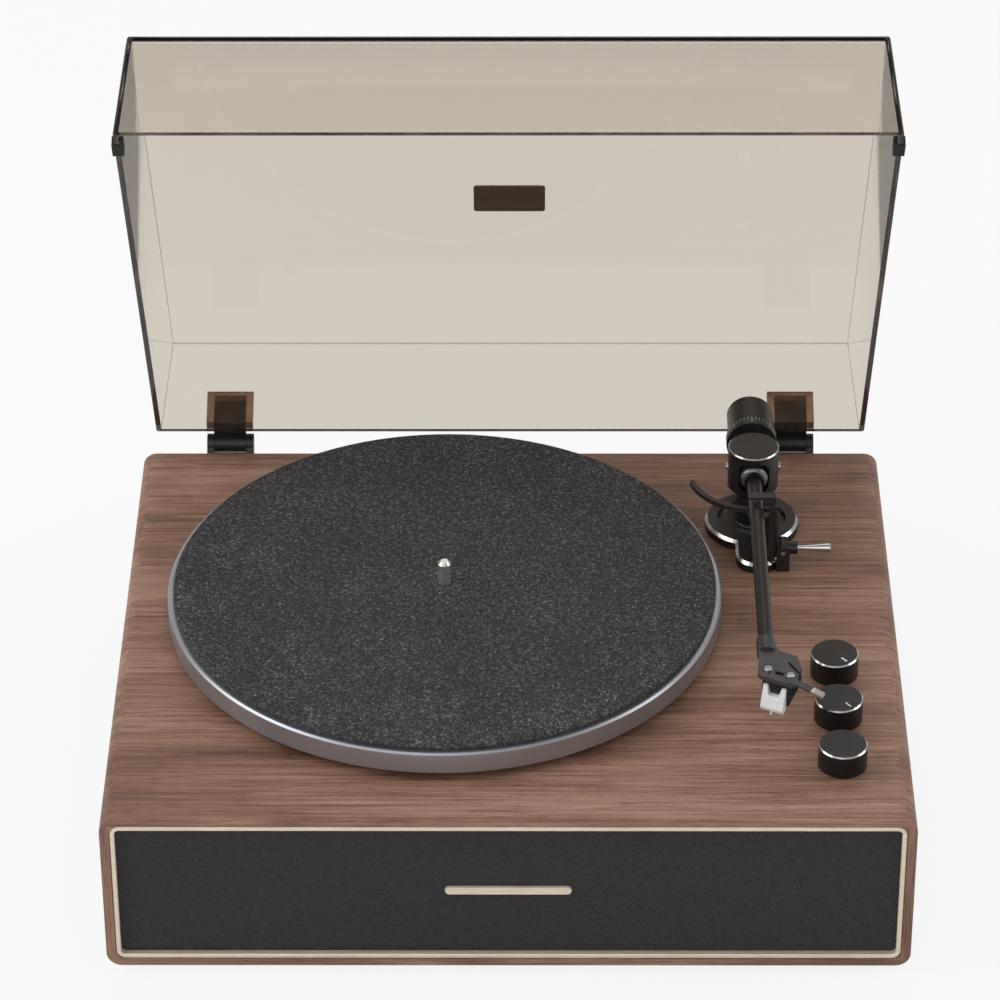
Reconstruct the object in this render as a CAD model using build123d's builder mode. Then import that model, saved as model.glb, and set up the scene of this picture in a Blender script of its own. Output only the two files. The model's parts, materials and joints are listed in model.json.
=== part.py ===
from build123d import *
import math
import os

os.makedirs("parts", exist_ok=True)

# Record player: a wooden cabinet with two speakers behind a cloth front, a belt-driven
# platter, a straight tonearm in a yoke, three knobs and a hinged smoked cover.
# Millimetres, +Z up, +Y to the back, the origin under the middle of the outer box.

# Cabinet
cabinet_width = 420.0
cabinet_depth = 340.0
cabinet_height = 96.0
cabinet_corner = 8.0
wall = 12.0
inner_corner = 3.0
fit_gap = 0.25
screw_gap = 0.05

# Feet
foot_height = 5.0
foot_radius = 16.0
foot_inset = 38.0
foot_edge = 0.8

# Grille front
grille_width = 410.0
grille_height = 87.0
grille_corner = 5.0
trim_width = 2.5
trim_depth = 6.0
trim_edge = 0.4
cloth_recess = 3.2
cloth_thickness = 0.8
grille_bar = 9.0
baffle_thickness = 8.0
badge_length = 66.0
badge_height = 5.0
badge_thickness = 1.2
badge_taper = 15.0

# Speakers
speaker_spacing = 252.0
speaker_radius = 35.5
speaker_screw_ring = 33.0
speaker_screws = 4
speaker_flange = 2.0
cone_radius = 27.0
basket_depth = 20.0
basket_wall = 1.5
magnet_radius = 20.0
magnet_depth = 13.0
cone_back_radius = 10.0
cone_thickness = 0.8

# Back panel and its sockets
panel_thickness = 3.0
panel_recess = 2.0
panel_lip = 5.0
jack_height = 42.0
line_outs_from_side = (62.0, 80.0)
headphone_from_side = 110.0
inlet_from_side = 60.0
line_out_radius = 4.15
line_out_length = 8.0
line_out_flange = 6.5
socket_body = 14.0
socket_lip = 1.0
headphone_bore = 1.8
headphone_depth = 14.0
inlet_bore = 2.75
inlet_pin = 1.05
inlet_depth = 9.0

# Smoked cover
cover_width = 404.0
cover_top_width = 394.0
cover_depth = 320.0
cover_height = 59.0
cover_wall = 3.0
cover_edge = 3.0
cover_rim_gap = 1.0
cover_back_inset = 5.0
cover_open_angle = 61.7
badge_plate_width = 39.0
badge_plate_depth = 26.0
badge_plate_thickness = 0.8
badge_plate_corner = 2.0
bumper_width = 6.0
bumper_length = 10.0
bumper_drop = 0.7
bumper_from_front = 12.0

# Cover hinges
hinge_spacing = 320.8
hinge_width = 26.5
hinge_setback = 14.2
hinge_rise = 1.1
hinge_ear = 4.0
hinge_ear_drop = 3.0
knuckle_radius = 5.5
hinge_pin_radius = 1.5
hinge_plate = 3.5
hinge_plate_height = 24.0
hinge_plate_drop = 1.5
hinge_screw_drop = 5.0
hinge_screw_spread = 6.0
tongue_thickness = 4.0
tongue_reach = 20.0
tongue_gap = 1.0
socket_window_width = 15.0
socket_window_height = 11.0
socket_window_depth = 0.6
socket_height = 20.0
socket_depth = 8.0
pin_fit = 0.04

# Platter and its drive
platter_from_side = 175.0
platter_from_front = 182.0
platter_radius = 150.0
platter_lift = 5.0
platter_height = 13.0
platter_web = 4.0
platter_rim = 8.0
platter_edge = 1.0
mat_radius = 147.0
mat_thickness = 3.0
mat_edge = 0.8
spindle_radius = 3.575
spindle_neck_radius = 3.0
spindle_above_mat = 14.0
spindle_tip = 1.4
disc_clearance = 0.1
sub_platter_radius = 75.0
sub_platter_height = 8.0
sub_platter_web = 4.0
sub_platter_rim = 6.0
hub_radius = 14.0
spindle_seat_radius = 5.0
spindle_collar_radius = 8.0
spindle_collar_height = 2.0
bearing_shaft_radius = 4.0
bearing_fit = 0.03
bearing_depth = 56.0
bearing_tube_radius = 11.0
bearing_floor = 4.0
bearing_flange_radius = 30.0
bearing_flange = 3.0
bearing_screw_ring = 24.0
ball_radius = 3.0
ball_gap = 0.1
pulley_radius = 6.0
pulley_flange = 2.0
pulley_edge = 1.0
belt_height = 4.0
belt_thickness = 0.6
belt_gap = 0.25
motor_distance = 105.0
motor_bearing = 135.0
motor_radius = 18.0
motor_height = 26.0
motor_nose_radius = 5.0
motor_shaft_radius = 1.2
motor_plate_radius = 30.0
motor_plate_thickness = 1.5
motor_hole_radius = 10.0
motor_screw_ring = 24.0
grommet_radius = 5.0
grommet_height = 2.0

# Knobs
knob_from_side = 36.5
knob_first_from_front = 47.0
knob_pitch = 40.0
knob_count = 3
knob_radius = 12.75
knob_height = 13.0
knob_gap = 0.8
knob_edge = 0.7
knob_hollow_radius = 9.5
knob_hollow = 4.0
knob_mark_inner = 5.4
knob_mark_outer = 9.8
knob_mark_width = 1.0
knob_mark_depth = 0.3
knob_mark_angle = -52.0
shaft_radius = 3.0
shaft_in_knob = 6.0
shaft_in_pot = 6.0
pot_body = 17.0
pot_height = 9.0
bushing_radius = 3.6
bushing_rise = 3.2
nut_radius = 5.6
nut_height = 2.0

# Tonearm
arm_from_side = 75.0
arm_from_front = 267.0
arm_height = 40.0
base_radius = 26.0
base_height = 6.0
base_edge = 1.6
base_ring_radius = 19.0
base_ring_depth = 2.5
base_tongue_radius = 12.0
base_tongue_reach = 35.0
base_tongue_shift = 2.0
column_radius = 9.0
column_thread_radius = 7.0
column_height = 24.0
column_nut_radius = 12.0
column_nut_height = 4.0
column_below = 12.0
yoke_radius = 14.0
yoke_bottom = 26.0
yoke_top = 52.0
yoke_foot_edge = 2.5
yoke_window_width = 16.7
yoke_window_low = 31.0
yoke_window_high = 49.0
yoke_window_corner = 4.5
yoke_cap_thickness = 1.4
yoke_cap_edge = 0.7
yoke_spindle_radius = 3.0
yoke_collar_radius = 6.0
yoke_collar_gap = 0.2
yoke_spindle_below = 10.0
pivot_screw_radius = 2.0
pivot_screw_gap = 0.1
pivot_screw_proud = 1.0
hub_ball_radius = 7.75
hub_sleeve_radius = 7.5
hub_sleeve_start = 2.5
hub_sleeve_end = 14.5
hub_sleeve_round = 2.5
hub_ring_radius = 5.4
hub_ring_length = 3.0
tube_radius = 4.0
tube_wall = 0.8
tube_front = 172.0
tube_back = 9.0
weight_shaft_radius = 3.0
weight_shaft_reach = 56.0
shaft_shoulder = 1.0
weight_radius = 12.8
weight_length = 24.0
weight_start = 29.0
weight_edge = 1.5
weight_bush_radius = 5.0
bush_proud = 1.0
bush_sunk = 2.0
dial_radius = 14.0
dial_length = 6.5
dial_gap = 0.4
slide_fit = 0.03

# Headshell and cartridge
offset_angle = 26.5
cartridge_side = 5.5
cartridge_forward = 198.5
cartridge_screw_pitch = 12.7
stylus_overreach = 9.5
headshell_thickness = 2.4
headshell_rise = 0.6
collar_radius = 5.2
collar_length = 12.0
collar_front = 6.0
headshell_screw_radius = 1.25
headshell_screw_head = 2.2
headshell_screw_rise = 1.6
headshell_screw_length = 7.0
cartridge_width = 15.0
cartridge_back = 12.0
cartridge_face = 4.5
cartridge_floor = 27.0
carrier_width = 12.6
carrier_top = 38.0
carrier_bottom = 23.8
carrier_nose = 9.4
carrier_notch_width = 8.0
carrier_notch_depth = 5.0
stylus_height = 22.8
cantilever_radius = 0.4
cantilever_rise = 0.8
stylus_length = 0.9
carrier_edge = 1.2
cartridge_back_rise = 4.0
shell_slot_length = 5.0
shell_slot_width = 2.6
shell_vents = ((3.0, -9.0), (7.0, -6.2))
shell_vent_angle = 35.0
shell_vent_length = 6.5
shell_vent_width = 1.4
lift_strip_width = 4.0
lift_strip_thickness = 1.2
lift_strip_forward = 2.5
lift_strip_start = 7.5
lift_strip_bend = 12.0
lift_strip_end = 27.0
lift_strip_tip = 5.0
lift_strip_drop = 0.2

# Arm rest and cueing lift
rest_from_arm = 9.0
rest_thickness = 3.0
rest_length = 5.0
rest_from_pivot = 41.0
rest_reach = 4.5
rest_gap = 0.4
rest_shelf = 1.5
rest_hook_clear = 2.7
lift_from_arm = 10.0
lift_from_pivot = 24.0
lift_cylinder_radius = 4.0
lift_cylinder_top = 30.0
lift_cylinder_edge = 0.8
lift_rod_radius = 1.5
lift_rod_depth = 5.0
lift_bar_radius = 34.8
lift_bar_width = 2.8
lift_bar_height = 2.6
lift_bar_gap = 0.4
lift_bar_left = 76.0
lift_link_width = 4.0
lever_from_arm = 15.5
lever_from_pivot = 39.0
lever_height = 12.0
lever_sleeve_radius = 3.6
lever_sleeve_reach = 8.0
lever_rod_radius = 1.3
lever_rod_reach = 11.0
lever_grip_radius = 2.7
lever_grip_reach = 26.5
lever_grip_edge = 0.8
lever_pin_radius = 1.2
bracket_ear = 2.0
bracket_base = 3.0
bracket_gap = 0.3

# Circuit board
board_length = 96.0
board_width = 62.0
board_thickness = 1.6
board_from_side = 115.0
board_from_front = 235.0
board_screw_inset = 5.0
standoff_radius = 3.0
standoff_height = 8.0
heat_sink_length = 44.0
heat_sink_fins = 5
heat_sink_pitch = 4.0
heat_sink_fin = 1.5
heat_sink_base = 3.0
heat_sink_height = 18.0
capacitor_count = 4
capacitor_pitch = 20.0
capacitor_radius = 6.0
capacitor_height = 18.0

# Screws: shank radius, length, head radius, head height
wood_screw = (1.6, 10.0, 3.2, 2.0)
plate_screw = (1.2, 8.0, 2.4, 1.5)
board_screw = (1.2, 5.0, 2.4, 1.5)
hinge_screw = (1.5, 10.0, 2.6, 1.2)
foot_screw_seat = 2.4

# Places worked out from the sizes above
swing = math.radians(cover_open_angle)
deck = foot_height + cabinet_height
middle = foot_height + cabinet_height / 2
cover_rise = cover_rim_gap + cover_height - hinge_rise
hinge_from_front = cabinet_depth - cover_back_inset + hinge_setback
cover_reach = cover_rise * math.sin(swing) - hinge_setback * math.cos(swing)
front = -(hinge_from_front + cover_reach) / 2
back = front + cabinet_depth
hinge_y = front + hinge_from_front
hinge_z = deck + hinge_rise
platter_x = platter_from_side - cabinet_width / 2
platter_y = front + platter_from_front
platter_bottom = deck + platter_lift
platter_top = platter_bottom + platter_height
web_bottom = platter_top - platter_web
mat_top = platter_top + mat_thickness
spindle_top = mat_top + spindle_above_mat
sub_platter_bottom = web_bottom - sub_platter_height
motor_x = platter_x + motor_distance * math.cos(math.radians(motor_bearing))
motor_y = platter_y + motor_distance * math.sin(math.radians(motor_bearing))
under_deck = deck - wall
arm_x = cabinet_width / 2 - arm_from_side
arm_y = front + arm_from_front
rest_x = arm_x + rest_from_arm
lift_x = arm_x + lift_from_arm
lever_x = arm_x + lever_from_arm
lever_sleeve_end = lever_x + lever_sleeve_reach
lever_rod_end = lever_x + lever_rod_reach
lever_grip_end = lever_x + lever_grip_reach
arm_z = deck + arm_height
board_x = cabinet_width / 2 - board_from_side
line_out_places = [side - cabinet_width / 2 for side in line_outs_from_side]
headphone_place = headphone_from_side - cabinet_width / 2
inlet_place = cabinet_width / 2 - inlet_from_side
knob_x = cabinet_width / 2 - knob_from_side
knob_places = [
    (knob_x, front + knob_first_from_front + knob_pitch * step)
    for step in range(knob_count)
]


def facing(y):
    """An upright plane across the cabinet that looks to the front."""
    return Plane.XZ.offset(-y)


def upright(x, y, z=0.0):
    """An upright plane whose X is a radius and whose Y is a height."""
    return Plane(origin=(x, y, z), x_dir=(1, 0, 0), z_dir=(0, -1, 0))


def lengthwise(x, y, z):
    """A level plane whose X is a radius and whose Y runs to the back."""
    return Plane(origin=(x, y, z))


def rearward(x, y, z):
    """A place whose Z runs to the back, for a screw driven from behind."""
    return Plane(origin=(x, y, z), z_dir=(0, 1, 0))


def downward(x, y, z):
    """A place whose Z runs down, for a screw driven from below."""
    return Plane(origin=(x, y, z), z_dir=(0, 0, -1))


def outline(plane, *points):
    """A closed profile with straight sides."""
    with BuildSketch(plane) as profile:
        with BuildLine():
            Polyline(*points, close=True)
        make_face()
    return profile.sketch


def ring(x, y, radius, count, start=0.0):
    """Points spaced evenly on a circle."""
    turns = [math.radians(start + 360.0 * step / count) for step in range(count)]
    return [(x + radius * math.cos(turn), y + radius * math.sin(turn)) for turn in turns]


def drill(centres, radius, top, depth):
    """Round holes straight down from a height."""
    with Locations(*[(x, y, top - depth / 2) for x, y in centres]):
        Cylinder(radius, depth, mode=Mode.SUBTRACT)


def screw(size):
    """A pan-head screw with its head seat at the origin and its shank below it."""
    shank, length, head, rise = size
    with BuildPart() as made:
        Cylinder(shank, length, align=(Align.CENTER, Align.CENTER, Align.MAX))
        Cylinder(head, rise, align=(Align.CENTER, Align.CENTER, Align.MIN))
        fillet(made.faces().sort_by(Axis.Z)[-1].edges(), rise * 0.4)
        with Locations((0, 0, rise)):
            Box(head * 1.2, head * 0.25, rise, mode=Mode.SUBTRACT)
            Box(head * 0.25, head * 1.2, rise, mode=Mode.SUBTRACT)
    return made.part


def save(piece, name):
    """Label a finished piece and write it under its own name."""
    piece.part.label = name
    export_step(piece.part, "parts/" + name + ".step")


# Screw places
bearing_screw_places = ring(platter_x, platter_y, bearing_screw_ring, 3, 90.0)
motor_screw_places = ring(motor_x, motor_y, motor_screw_ring, 3, 30.0)
foot_x = cabinet_width / 2 - foot_inset
foot_front = front + foot_inset
foot_back = back - foot_inset
foot_places = [(x, y) for x in (-foot_x, foot_x) for y in (foot_front, foot_back)]
speaker_places = [-speaker_spacing / 2, speaker_spacing / 2]
panel_height = cabinet_height - 2 * wall + 2 * panel_lip
panel_width = cabinet_width - 2 * wall + 2 * panel_lip
panel_front = back - panel_recess - panel_thickness
panel_screw_x = cabinet_width / 2 - 2 * wall
panel_screw_z = cabinet_height / 2 - wall + panel_lip / 2
panel_screw_places = [
    (x, middle + z)
    for x in (-panel_screw_x, 0.0, panel_screw_x)
    for z in (-panel_screw_z, panel_screw_z)
]
hinge_places = [-hinge_spacing / 2, hinge_spacing / 2]
hinge_screw_places = [
    (place + side * hinge_screw_spread, deck - hinge_screw_drop)
    for place in hinge_places
    for side in (-1, 1)
]
board_screw_x = board_length / 2 - board_screw_inset
board_screw_y = board_width / 2 - board_screw_inset
board_y = front + board_from_front
board_screw_places = [
    (board_x + i * board_screw_x, board_y + j * board_screw_y) for i in (-1, 1) for j in (-1, 1)
]
cabinet_floor = foot_height + wall


# Cabinet shell: four walls of one wooden tube, open to the front and the back.
with BuildPart() as cabinet_shell:
    with BuildSketch(facing(front)):
        with Locations((0, middle)):
            RectangleRounded(cabinet_width, cabinet_height, cabinet_corner)
    extrude(amount=-cabinet_depth)
    with BuildSketch(facing(front)):
        with Locations((0, middle)):
            RectangleRounded(cabinet_width - 2 * wall, cabinet_height - 2 * wall, inner_corner)
    extrude(amount=-cabinet_depth, mode=Mode.SUBTRACT)
    with BuildSketch(facing(front)):
        with Locations((0, middle)):
            RectangleRounded(grille_width, grille_height, grille_corner)
    extrude(amount=-(trim_depth + baffle_thickness), mode=Mode.SUBTRACT)
    with BuildSketch(facing(back)):
        with Locations((0, middle)):
            RectangleRounded(panel_width, panel_height, inner_corner)
    extrude(amount=panel_recess + panel_thickness, mode=Mode.SUBTRACT)
    drill([(platter_x, platter_y)], bearing_tube_radius + fit_gap, deck, wall)
    drill(bearing_screw_places, wood_screw[0] + screw_gap, deck, wall)
    drill([(motor_x, motor_y)], motor_hole_radius, deck, wall)
    drill(motor_screw_places, plate_screw[0] + screw_gap, deck, wall)
    drill([(arm_x, arm_y)], column_thread_radius + fit_gap, deck, wall)
    drill(knob_places, bushing_radius + fit_gap, deck, wall)
    drill(foot_places, wood_screw[0] + screw_gap, cabinet_floor, wall)
    drill(board_screw_places, board_screw[0] + screw_gap, cabinet_floor, wall / 2)
    with Locations(*[(x, panel_front - wall / 2, z) for x, z in panel_screw_places]):
        Cylinder(plate_screw[0] + screw_gap, wall, rotation=(90, 0, 0), mode=Mode.SUBTRACT)
    with Locations(*[(x, back - wall / 2, z) for x, z in hinge_screw_places]):
        Cylinder(hinge_screw[0] + screw_gap, wall, rotation=(90, 0, 0), mode=Mode.SUBTRACT)
save(cabinet_shell, "cabinet_shell")

# Rubber feet under the four corners, each with a seat for its screw.
with BuildPart() as feet:
    with Locations(*[(x, y, foot_height / 2) for x, y in foot_places]):
        Cylinder(foot_radius, foot_height)
    chamfer(feet.faces().sort_by(Axis.Z)[: len(foot_places)].edges(), foot_edge)
    drill(foot_places, wood_screw[0] + screw_gap, foot_height, foot_height)
    seat_depth = foot_height - foot_screw_seat
    drill(foot_places, wood_screw[2] + fit_gap, seat_depth, seat_depth)
save(feet, "feet")

# Baffle board behind the grille, with the two speaker openings.
baffle_front = front + trim_depth
baffle_back = baffle_front + baffle_thickness
with BuildPart() as front_baffle:
    with BuildSketch(facing(baffle_front)):
        with Locations((0, middle)):
            RectangleRounded(grille_width - 2 * fit_gap, grille_height - 2 * fit_gap, grille_corner)
        with Locations(*[(x, middle) for x in speaker_places]):
            Circle(cone_radius + basket_wall, mode=Mode.SUBTRACT)
    extrude(amount=-baffle_thickness)
    for place in speaker_places:
        seats = ring(place, middle, speaker_screw_ring, speaker_screws, 45.0)
        with Locations(*[(x, baffle_back - plate_screw[1] / 2, z) for x, z in seats]):
            Cylinder(plate_screw[0] + screw_gap, plate_screw[1], rotation=(90, 0, 0), mode=Mode.SUBTRACT)
save(front_baffle, "front_baffle")

# Champagne trim ring round the grille opening.
with BuildPart() as grille_trim:
    with BuildSketch(facing(front)):
        with Locations((0, middle)):
            RectangleRounded(grille_width - 2 * fit_gap, grille_height - 2 * fit_gap, grille_corner)
            RectangleRounded(
                grille_width - 2 * fit_gap - 2 * trim_width,
                grille_height - 2 * fit_gap - 2 * trim_width,
                grille_corner - trim_width,
                mode=Mode.SUBTRACT,
            )
    extrude(amount=-trim_depth)
    chamfer(grille_trim.faces().sort_by(Axis.Y)[0].edges(), trim_edge)
save(grille_trim, "grille_trim")

# Grille frame with a bar between the speakers, and the cloth stretched over its front.
cloth_width = grille_width - 4 * fit_gap - 2 * trim_width
cloth_height = grille_height - 4 * fit_gap - 2 * trim_width
cloth_back = front + cloth_recess + cloth_thickness
window_width = (cloth_width - 3 * grille_bar) / 2
window_height = cloth_height - 2 * grille_bar
with BuildPart() as grille_frame:
    with BuildSketch(facing(cloth_back)):
        with Locations((0, middle)):
            RectangleRounded(cloth_width, cloth_height, grille_corner - trim_width)
        with Locations(*[(side * (window_width + grille_bar) / 2, middle) for side in (-1, 1)]):
            RectangleRounded(window_width, window_height, inner_corner, mode=Mode.SUBTRACT)
    extrude(amount=-(baffle_front - cloth_back))
save(grille_frame, "grille_frame")

with BuildPart() as grille_cloth:
    with BuildSketch(facing(front + cloth_recess)):
        with Locations((0, middle)):
            RectangleRounded(cloth_width, cloth_height, grille_corner - trim_width)
    extrude(amount=-cloth_thickness)
save(grille_cloth, "grille_cloth")

# Plain badge bar on the cloth, with tapered ends.
with BuildPart() as grille_badge:
    with BuildSketch(facing(front + cloth_recess)):
        with Locations((0, middle)):
            SlotOverall(badge_length, badge_height)
    extrude(amount=badge_thickness, taper=badge_taper)
save(grille_badge, "grille_badge")

# Speakers: pressed basket, paper cone with its dust cap and magnet behind.
magnet_front = baffle_back + basket_depth + fit_gap
with BuildPart() as speaker_baskets:
    for place in speaker_places:
        axis = Axis((place, baffle_back, middle), (0, 1, 0))
        revolve(
            outline(
                lengthwise(place, baffle_back, middle),
                (cone_radius + basket_wall, 0),
                (speaker_radius, 0),
                (speaker_radius, speaker_flange),
                (cone_radius + 2 * basket_wall, speaker_flange),
                (magnet_radius, basket_depth),
                (cone_back_radius, basket_depth),
                (cone_back_radius, basket_depth - basket_wall),
                (magnet_radius - basket_wall, basket_depth - basket_wall),
            ),
            axis=axis,
        )
        seats = ring(place, middle, speaker_screw_ring, speaker_screws, 45.0)
        with Locations(*[(x, baffle_back, z) for x, z in seats]):
            Cylinder(
                plate_screw[0] + screw_gap,
                2 * speaker_flange,
                rotation=(90, 0, 0),
                mode=Mode.SUBTRACT,
            )
        with Locations((place, magnet_front + magnet_depth / 2, middle)):
            Cylinder(magnet_radius, magnet_depth, rotation=(90, 0, 0))
save(speaker_baskets, "speaker_baskets")

with BuildPart() as speaker_cones:
    for place in speaker_places:
        axis = Axis((place, baffle_back, middle), (0, 1, 0))
        revolve(
            outline(
                lengthwise(place, baffle_back, middle),
                (0, basket_depth / 2 - cone_thickness),
                (cone_back_radius, basket_depth / 2),
                (cone_radius, 0),
                (cone_radius, cone_thickness),
                (cone_back_radius, basket_depth / 2 + cone_thickness),
                (cone_back_radius, basket_depth - 2 * basket_wall),
                (0, basket_depth - 2 * basket_wall),
            ),
            axis=axis,
        )
save(speaker_cones, "speaker_cones")

# Back panel in its rebate.
with BuildPart() as back_panel:
    with BuildSketch(facing(panel_front)):
        with Locations((0, middle)):
            RectangleRounded(panel_width - 2 * fit_gap, panel_height - 2 * fit_gap, inner_corner)
        with Locations(*[(x, foot_height + jack_height) for x in line_out_places]):
            Circle(line_out_radius + fit_gap, mode=Mode.SUBTRACT)
        with Locations((headphone_place, foot_height + jack_height)):
            Circle(line_out_radius + fit_gap, mode=Mode.SUBTRACT)
        with Locations((inlet_place, foot_height + jack_height)):
            Circle(line_out_flange + fit_gap, mode=Mode.SUBTRACT)
        with Locations(*panel_screw_places):
            Circle(plate_screw[0] + screw_gap, mode=Mode.SUBTRACT)
    extrude(amount=-panel_thickness)
save(back_panel, "back_panel")

# Rear sockets: two plated line-out barrels, a headphone jack and a low-voltage inlet.
panel_back = panel_front + panel_thickness
with BuildPart() as rear_sockets:
    for place in line_out_places:
        here = (place, panel_back, foot_height + jack_height)
        revolve(
            outline(
                lengthwise(*here),
                (headphone_bore, line_out_length),
                (line_out_radius, line_out_length),
                (line_out_radius, socket_lip),
                (line_out_flange, socket_lip),
                (line_out_flange, 0),
                (line_out_radius, 0),
                (line_out_radius, -panel_thickness),
                (line_out_flange, -panel_thickness),
                (line_out_flange, -panel_thickness - socket_body),
                (0, -panel_thickness - socket_body),
                (0, -panel_thickness),
                (headphone_bore, -panel_thickness),
            ),
            axis=Axis(here, (0, 1, 0)),
        )
    here = (headphone_place, panel_back, foot_height + jack_height)
    revolve(
        outline(
            lengthwise(*here),
            (headphone_bore, socket_lip),
            (line_out_flange, socket_lip),
            (line_out_flange, 0),
            (line_out_radius, 0),
            (line_out_radius, -panel_thickness),
            (line_out_flange, -panel_thickness),
            (line_out_flange, -panel_thickness - socket_body),
            (0, -panel_thickness - socket_body),
            (0, -headphone_depth),
            (headphone_bore, -headphone_depth),
        ),
        axis=Axis(here, (0, 1, 0)),
    )
    here = (inlet_place, panel_back, foot_height + jack_height)
    revolve(
        outline(
            lengthwise(*here),
            (inlet_bore, socket_lip),
            (line_out_flange + socket_lip, socket_lip),
            (line_out_flange + socket_lip, 0),
            (line_out_flange, 0),
            (line_out_flange, -panel_thickness - socket_body),
            (0, -panel_thickness - socket_body),
            (0, -socket_lip),
            (inlet_pin, -socket_lip),
            (inlet_pin, -inlet_depth),
            (inlet_bore, -inlet_depth),
        ),
        axis=Axis(here, (0, 1, 0)),
    )
save(rear_sockets, "rear_sockets")

# Cover frame of reference: X across, Y to the back and Z up in the closed cover, turned
# about the hinge pins to the open position.
cover_plane = Plane(
    origin=(0, hinge_y, hinge_z),
    x_dir=(1, 0, 0),
    z_dir=(0, math.sin(swing), math.cos(swing)),
)
cover_face = Plane(
    origin=(0, hinge_y, hinge_z),
    x_dir=(1, 0, 0),
    z_dir=(0, -math.cos(swing), math.sin(swing)),
)
cover_low = cover_rim_gap - hinge_rise
cover_high = cover_low + cover_height
cover_up = Axis((0, hinge_y, hinge_z), (0, math.sin(swing), math.cos(swing)))

# Dust cover: one moulded lid with slightly drawn-in sides, open underneath.
with BuildPart() as dust_cover:
    extrude(
        outline(
            cover_face.offset(hinge_setback),
            (-cover_width / 2, cover_low),
            (cover_width / 2, cover_low),
            (cover_top_width / 2, cover_high),
            (-cover_top_width / 2, cover_high),
        ),
        amount=cover_depth,
    )
    fillet(dust_cover.edges().sort_by(cover_up)[4:], cover_edge)
    extrude(
        outline(
            cover_face.offset(hinge_setback + cover_wall),
            (-cover_width / 2 + cover_wall, cover_low),
            (cover_width / 2 - cover_wall, cover_low),
            (cover_top_width / 2 - cover_wall, cover_high - cover_wall),
            (-cover_top_width / 2 + cover_wall, cover_high - cover_wall),
        ),
        amount=cover_depth - 2 * cover_wall,
        mode=Mode.SUBTRACT,
    )
save(dust_cover, "dust_cover")

# Plain plate in the middle of the cover's top.
with BuildPart() as cover_badge:
    with BuildSketch(cover_plane.offset(cover_high)):
        with Locations((0, -hinge_setback - cover_depth / 2)):
            RectangleRounded(badge_plate_width, badge_plate_depth, badge_plate_corner)
    extrude(amount=badge_plate_thickness)
save(cover_badge, "cover_badge")

# Rubber bumpers clipped over the side rims near the front.
bumper_y = -hinge_setback - cover_depth + bumper_from_front
with BuildPart() as cover_bumpers:
    for side in (-1, 1):
        with BuildSketch(cover_face.offset(-bumper_y - bumper_length)):
            with Locations((side * (cover_width - cover_wall) / 2, cover_low - bumper_drop)):
                Rectangle(bumper_width, bumper_width, align=(Align.CENTER, Align.MIN))
        extrude(amount=bumper_length)
    add(dust_cover.part, mode=Mode.SUBTRACT)
save(cover_bumpers, "cover_bumpers")

# Hinges. A base on the cabinet's back carries two ears and a pin; a tongue turns on the pin
# and plugs into a smoked socket on the cover's back wall.
tongue_width = hinge_width - 2 * hinge_ear - 2 * fit_gap
tongue_front = -hinge_setback + (socket_depth - tongue_thickness) / 2
tongue_back = tongue_front + tongue_thickness
with BuildPart() as hinge_bases:
    for place in hinge_places:
        with Locations((place, back, deck - hinge_plate_drop)):
            Box(hinge_width, hinge_plate, hinge_plate_height, align=(Align.CENTER, Align.MIN, Align.MAX))
        for side in (-1, 1):
            ear_middle = place + side * (hinge_width - hinge_ear) / 2
            with BuildSketch(Plane.YZ.offset(ear_middle - hinge_ear / 2)):
                with Locations((hinge_y, hinge_z)):
                    Circle(knuckle_radius)
                with BuildLine():
                    Polyline(
                        (back, deck - hinge_ear_drop),
                        (hinge_y - 0.3 * knuckle_radius, hinge_z + 0.9 * knuckle_radius),
                        (hinge_y + 0.7 * knuckle_radius, hinge_z - 0.6 * knuckle_radius),
                        (back + hinge_plate, deck - 3.0 * knuckle_radius),
                        (back, deck - 3.0 * knuckle_radius),
                        close=True,
                    )
                make_face()
            extrude(amount=hinge_ear)
        with Locations((place, hinge_y, hinge_z)):
            Cylinder(hinge_pin_radius + pin_fit, 2 * hinge_width, rotation=(0, 90, 0), mode=Mode.SUBTRACT)
    with Locations(*[(x, back + hinge_plate / 2, z) for x, z in hinge_screw_places]):
        Cylinder(hinge_screw[0] + screw_gap, 2 * hinge_plate, rotation=(90, 0, 0), mode=Mode.SUBTRACT)
save(hinge_bases, "hinge_bases")

with BuildPart() as hinge_screws:
    with Locations(*[rearward(x, back + hinge_plate, z) for x, z in hinge_screw_places]):
        add(screw(hinge_screw))
save(hinge_screws, "hinge_screws")

knuckle_turning_radius = knuckle_radius - fit_gap
tongue_low = cover_low + tongue_gap
with BuildPart() as hinge_tongues:
    for place in hinge_places:
        tongue_side = Plane(
            origin=(place - tongue_width / 2, hinge_y, hinge_z),
            x_dir=(0, math.cos(swing), -math.sin(swing)),
            z_dir=(1, 0, 0),
        )
        with BuildSketch(tongue_side):
            Circle(knuckle_turning_radius)
            with BuildLine():
                Polyline(
                    (tongue_front, tongue_low),
                    (0, tongue_low),
                    (0, knuckle_turning_radius),
                    (tongue_back, knuckle_turning_radius),
                    (tongue_back, tongue_reach),
                    (tongue_front, tongue_reach),
                    close=True,
                )
            make_face()
            Circle(hinge_pin_radius + pin_fit, mode=Mode.SUBTRACT)
        extrude(amount=tongue_width)
save(hinge_tongues, "hinge_tongues")

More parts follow.
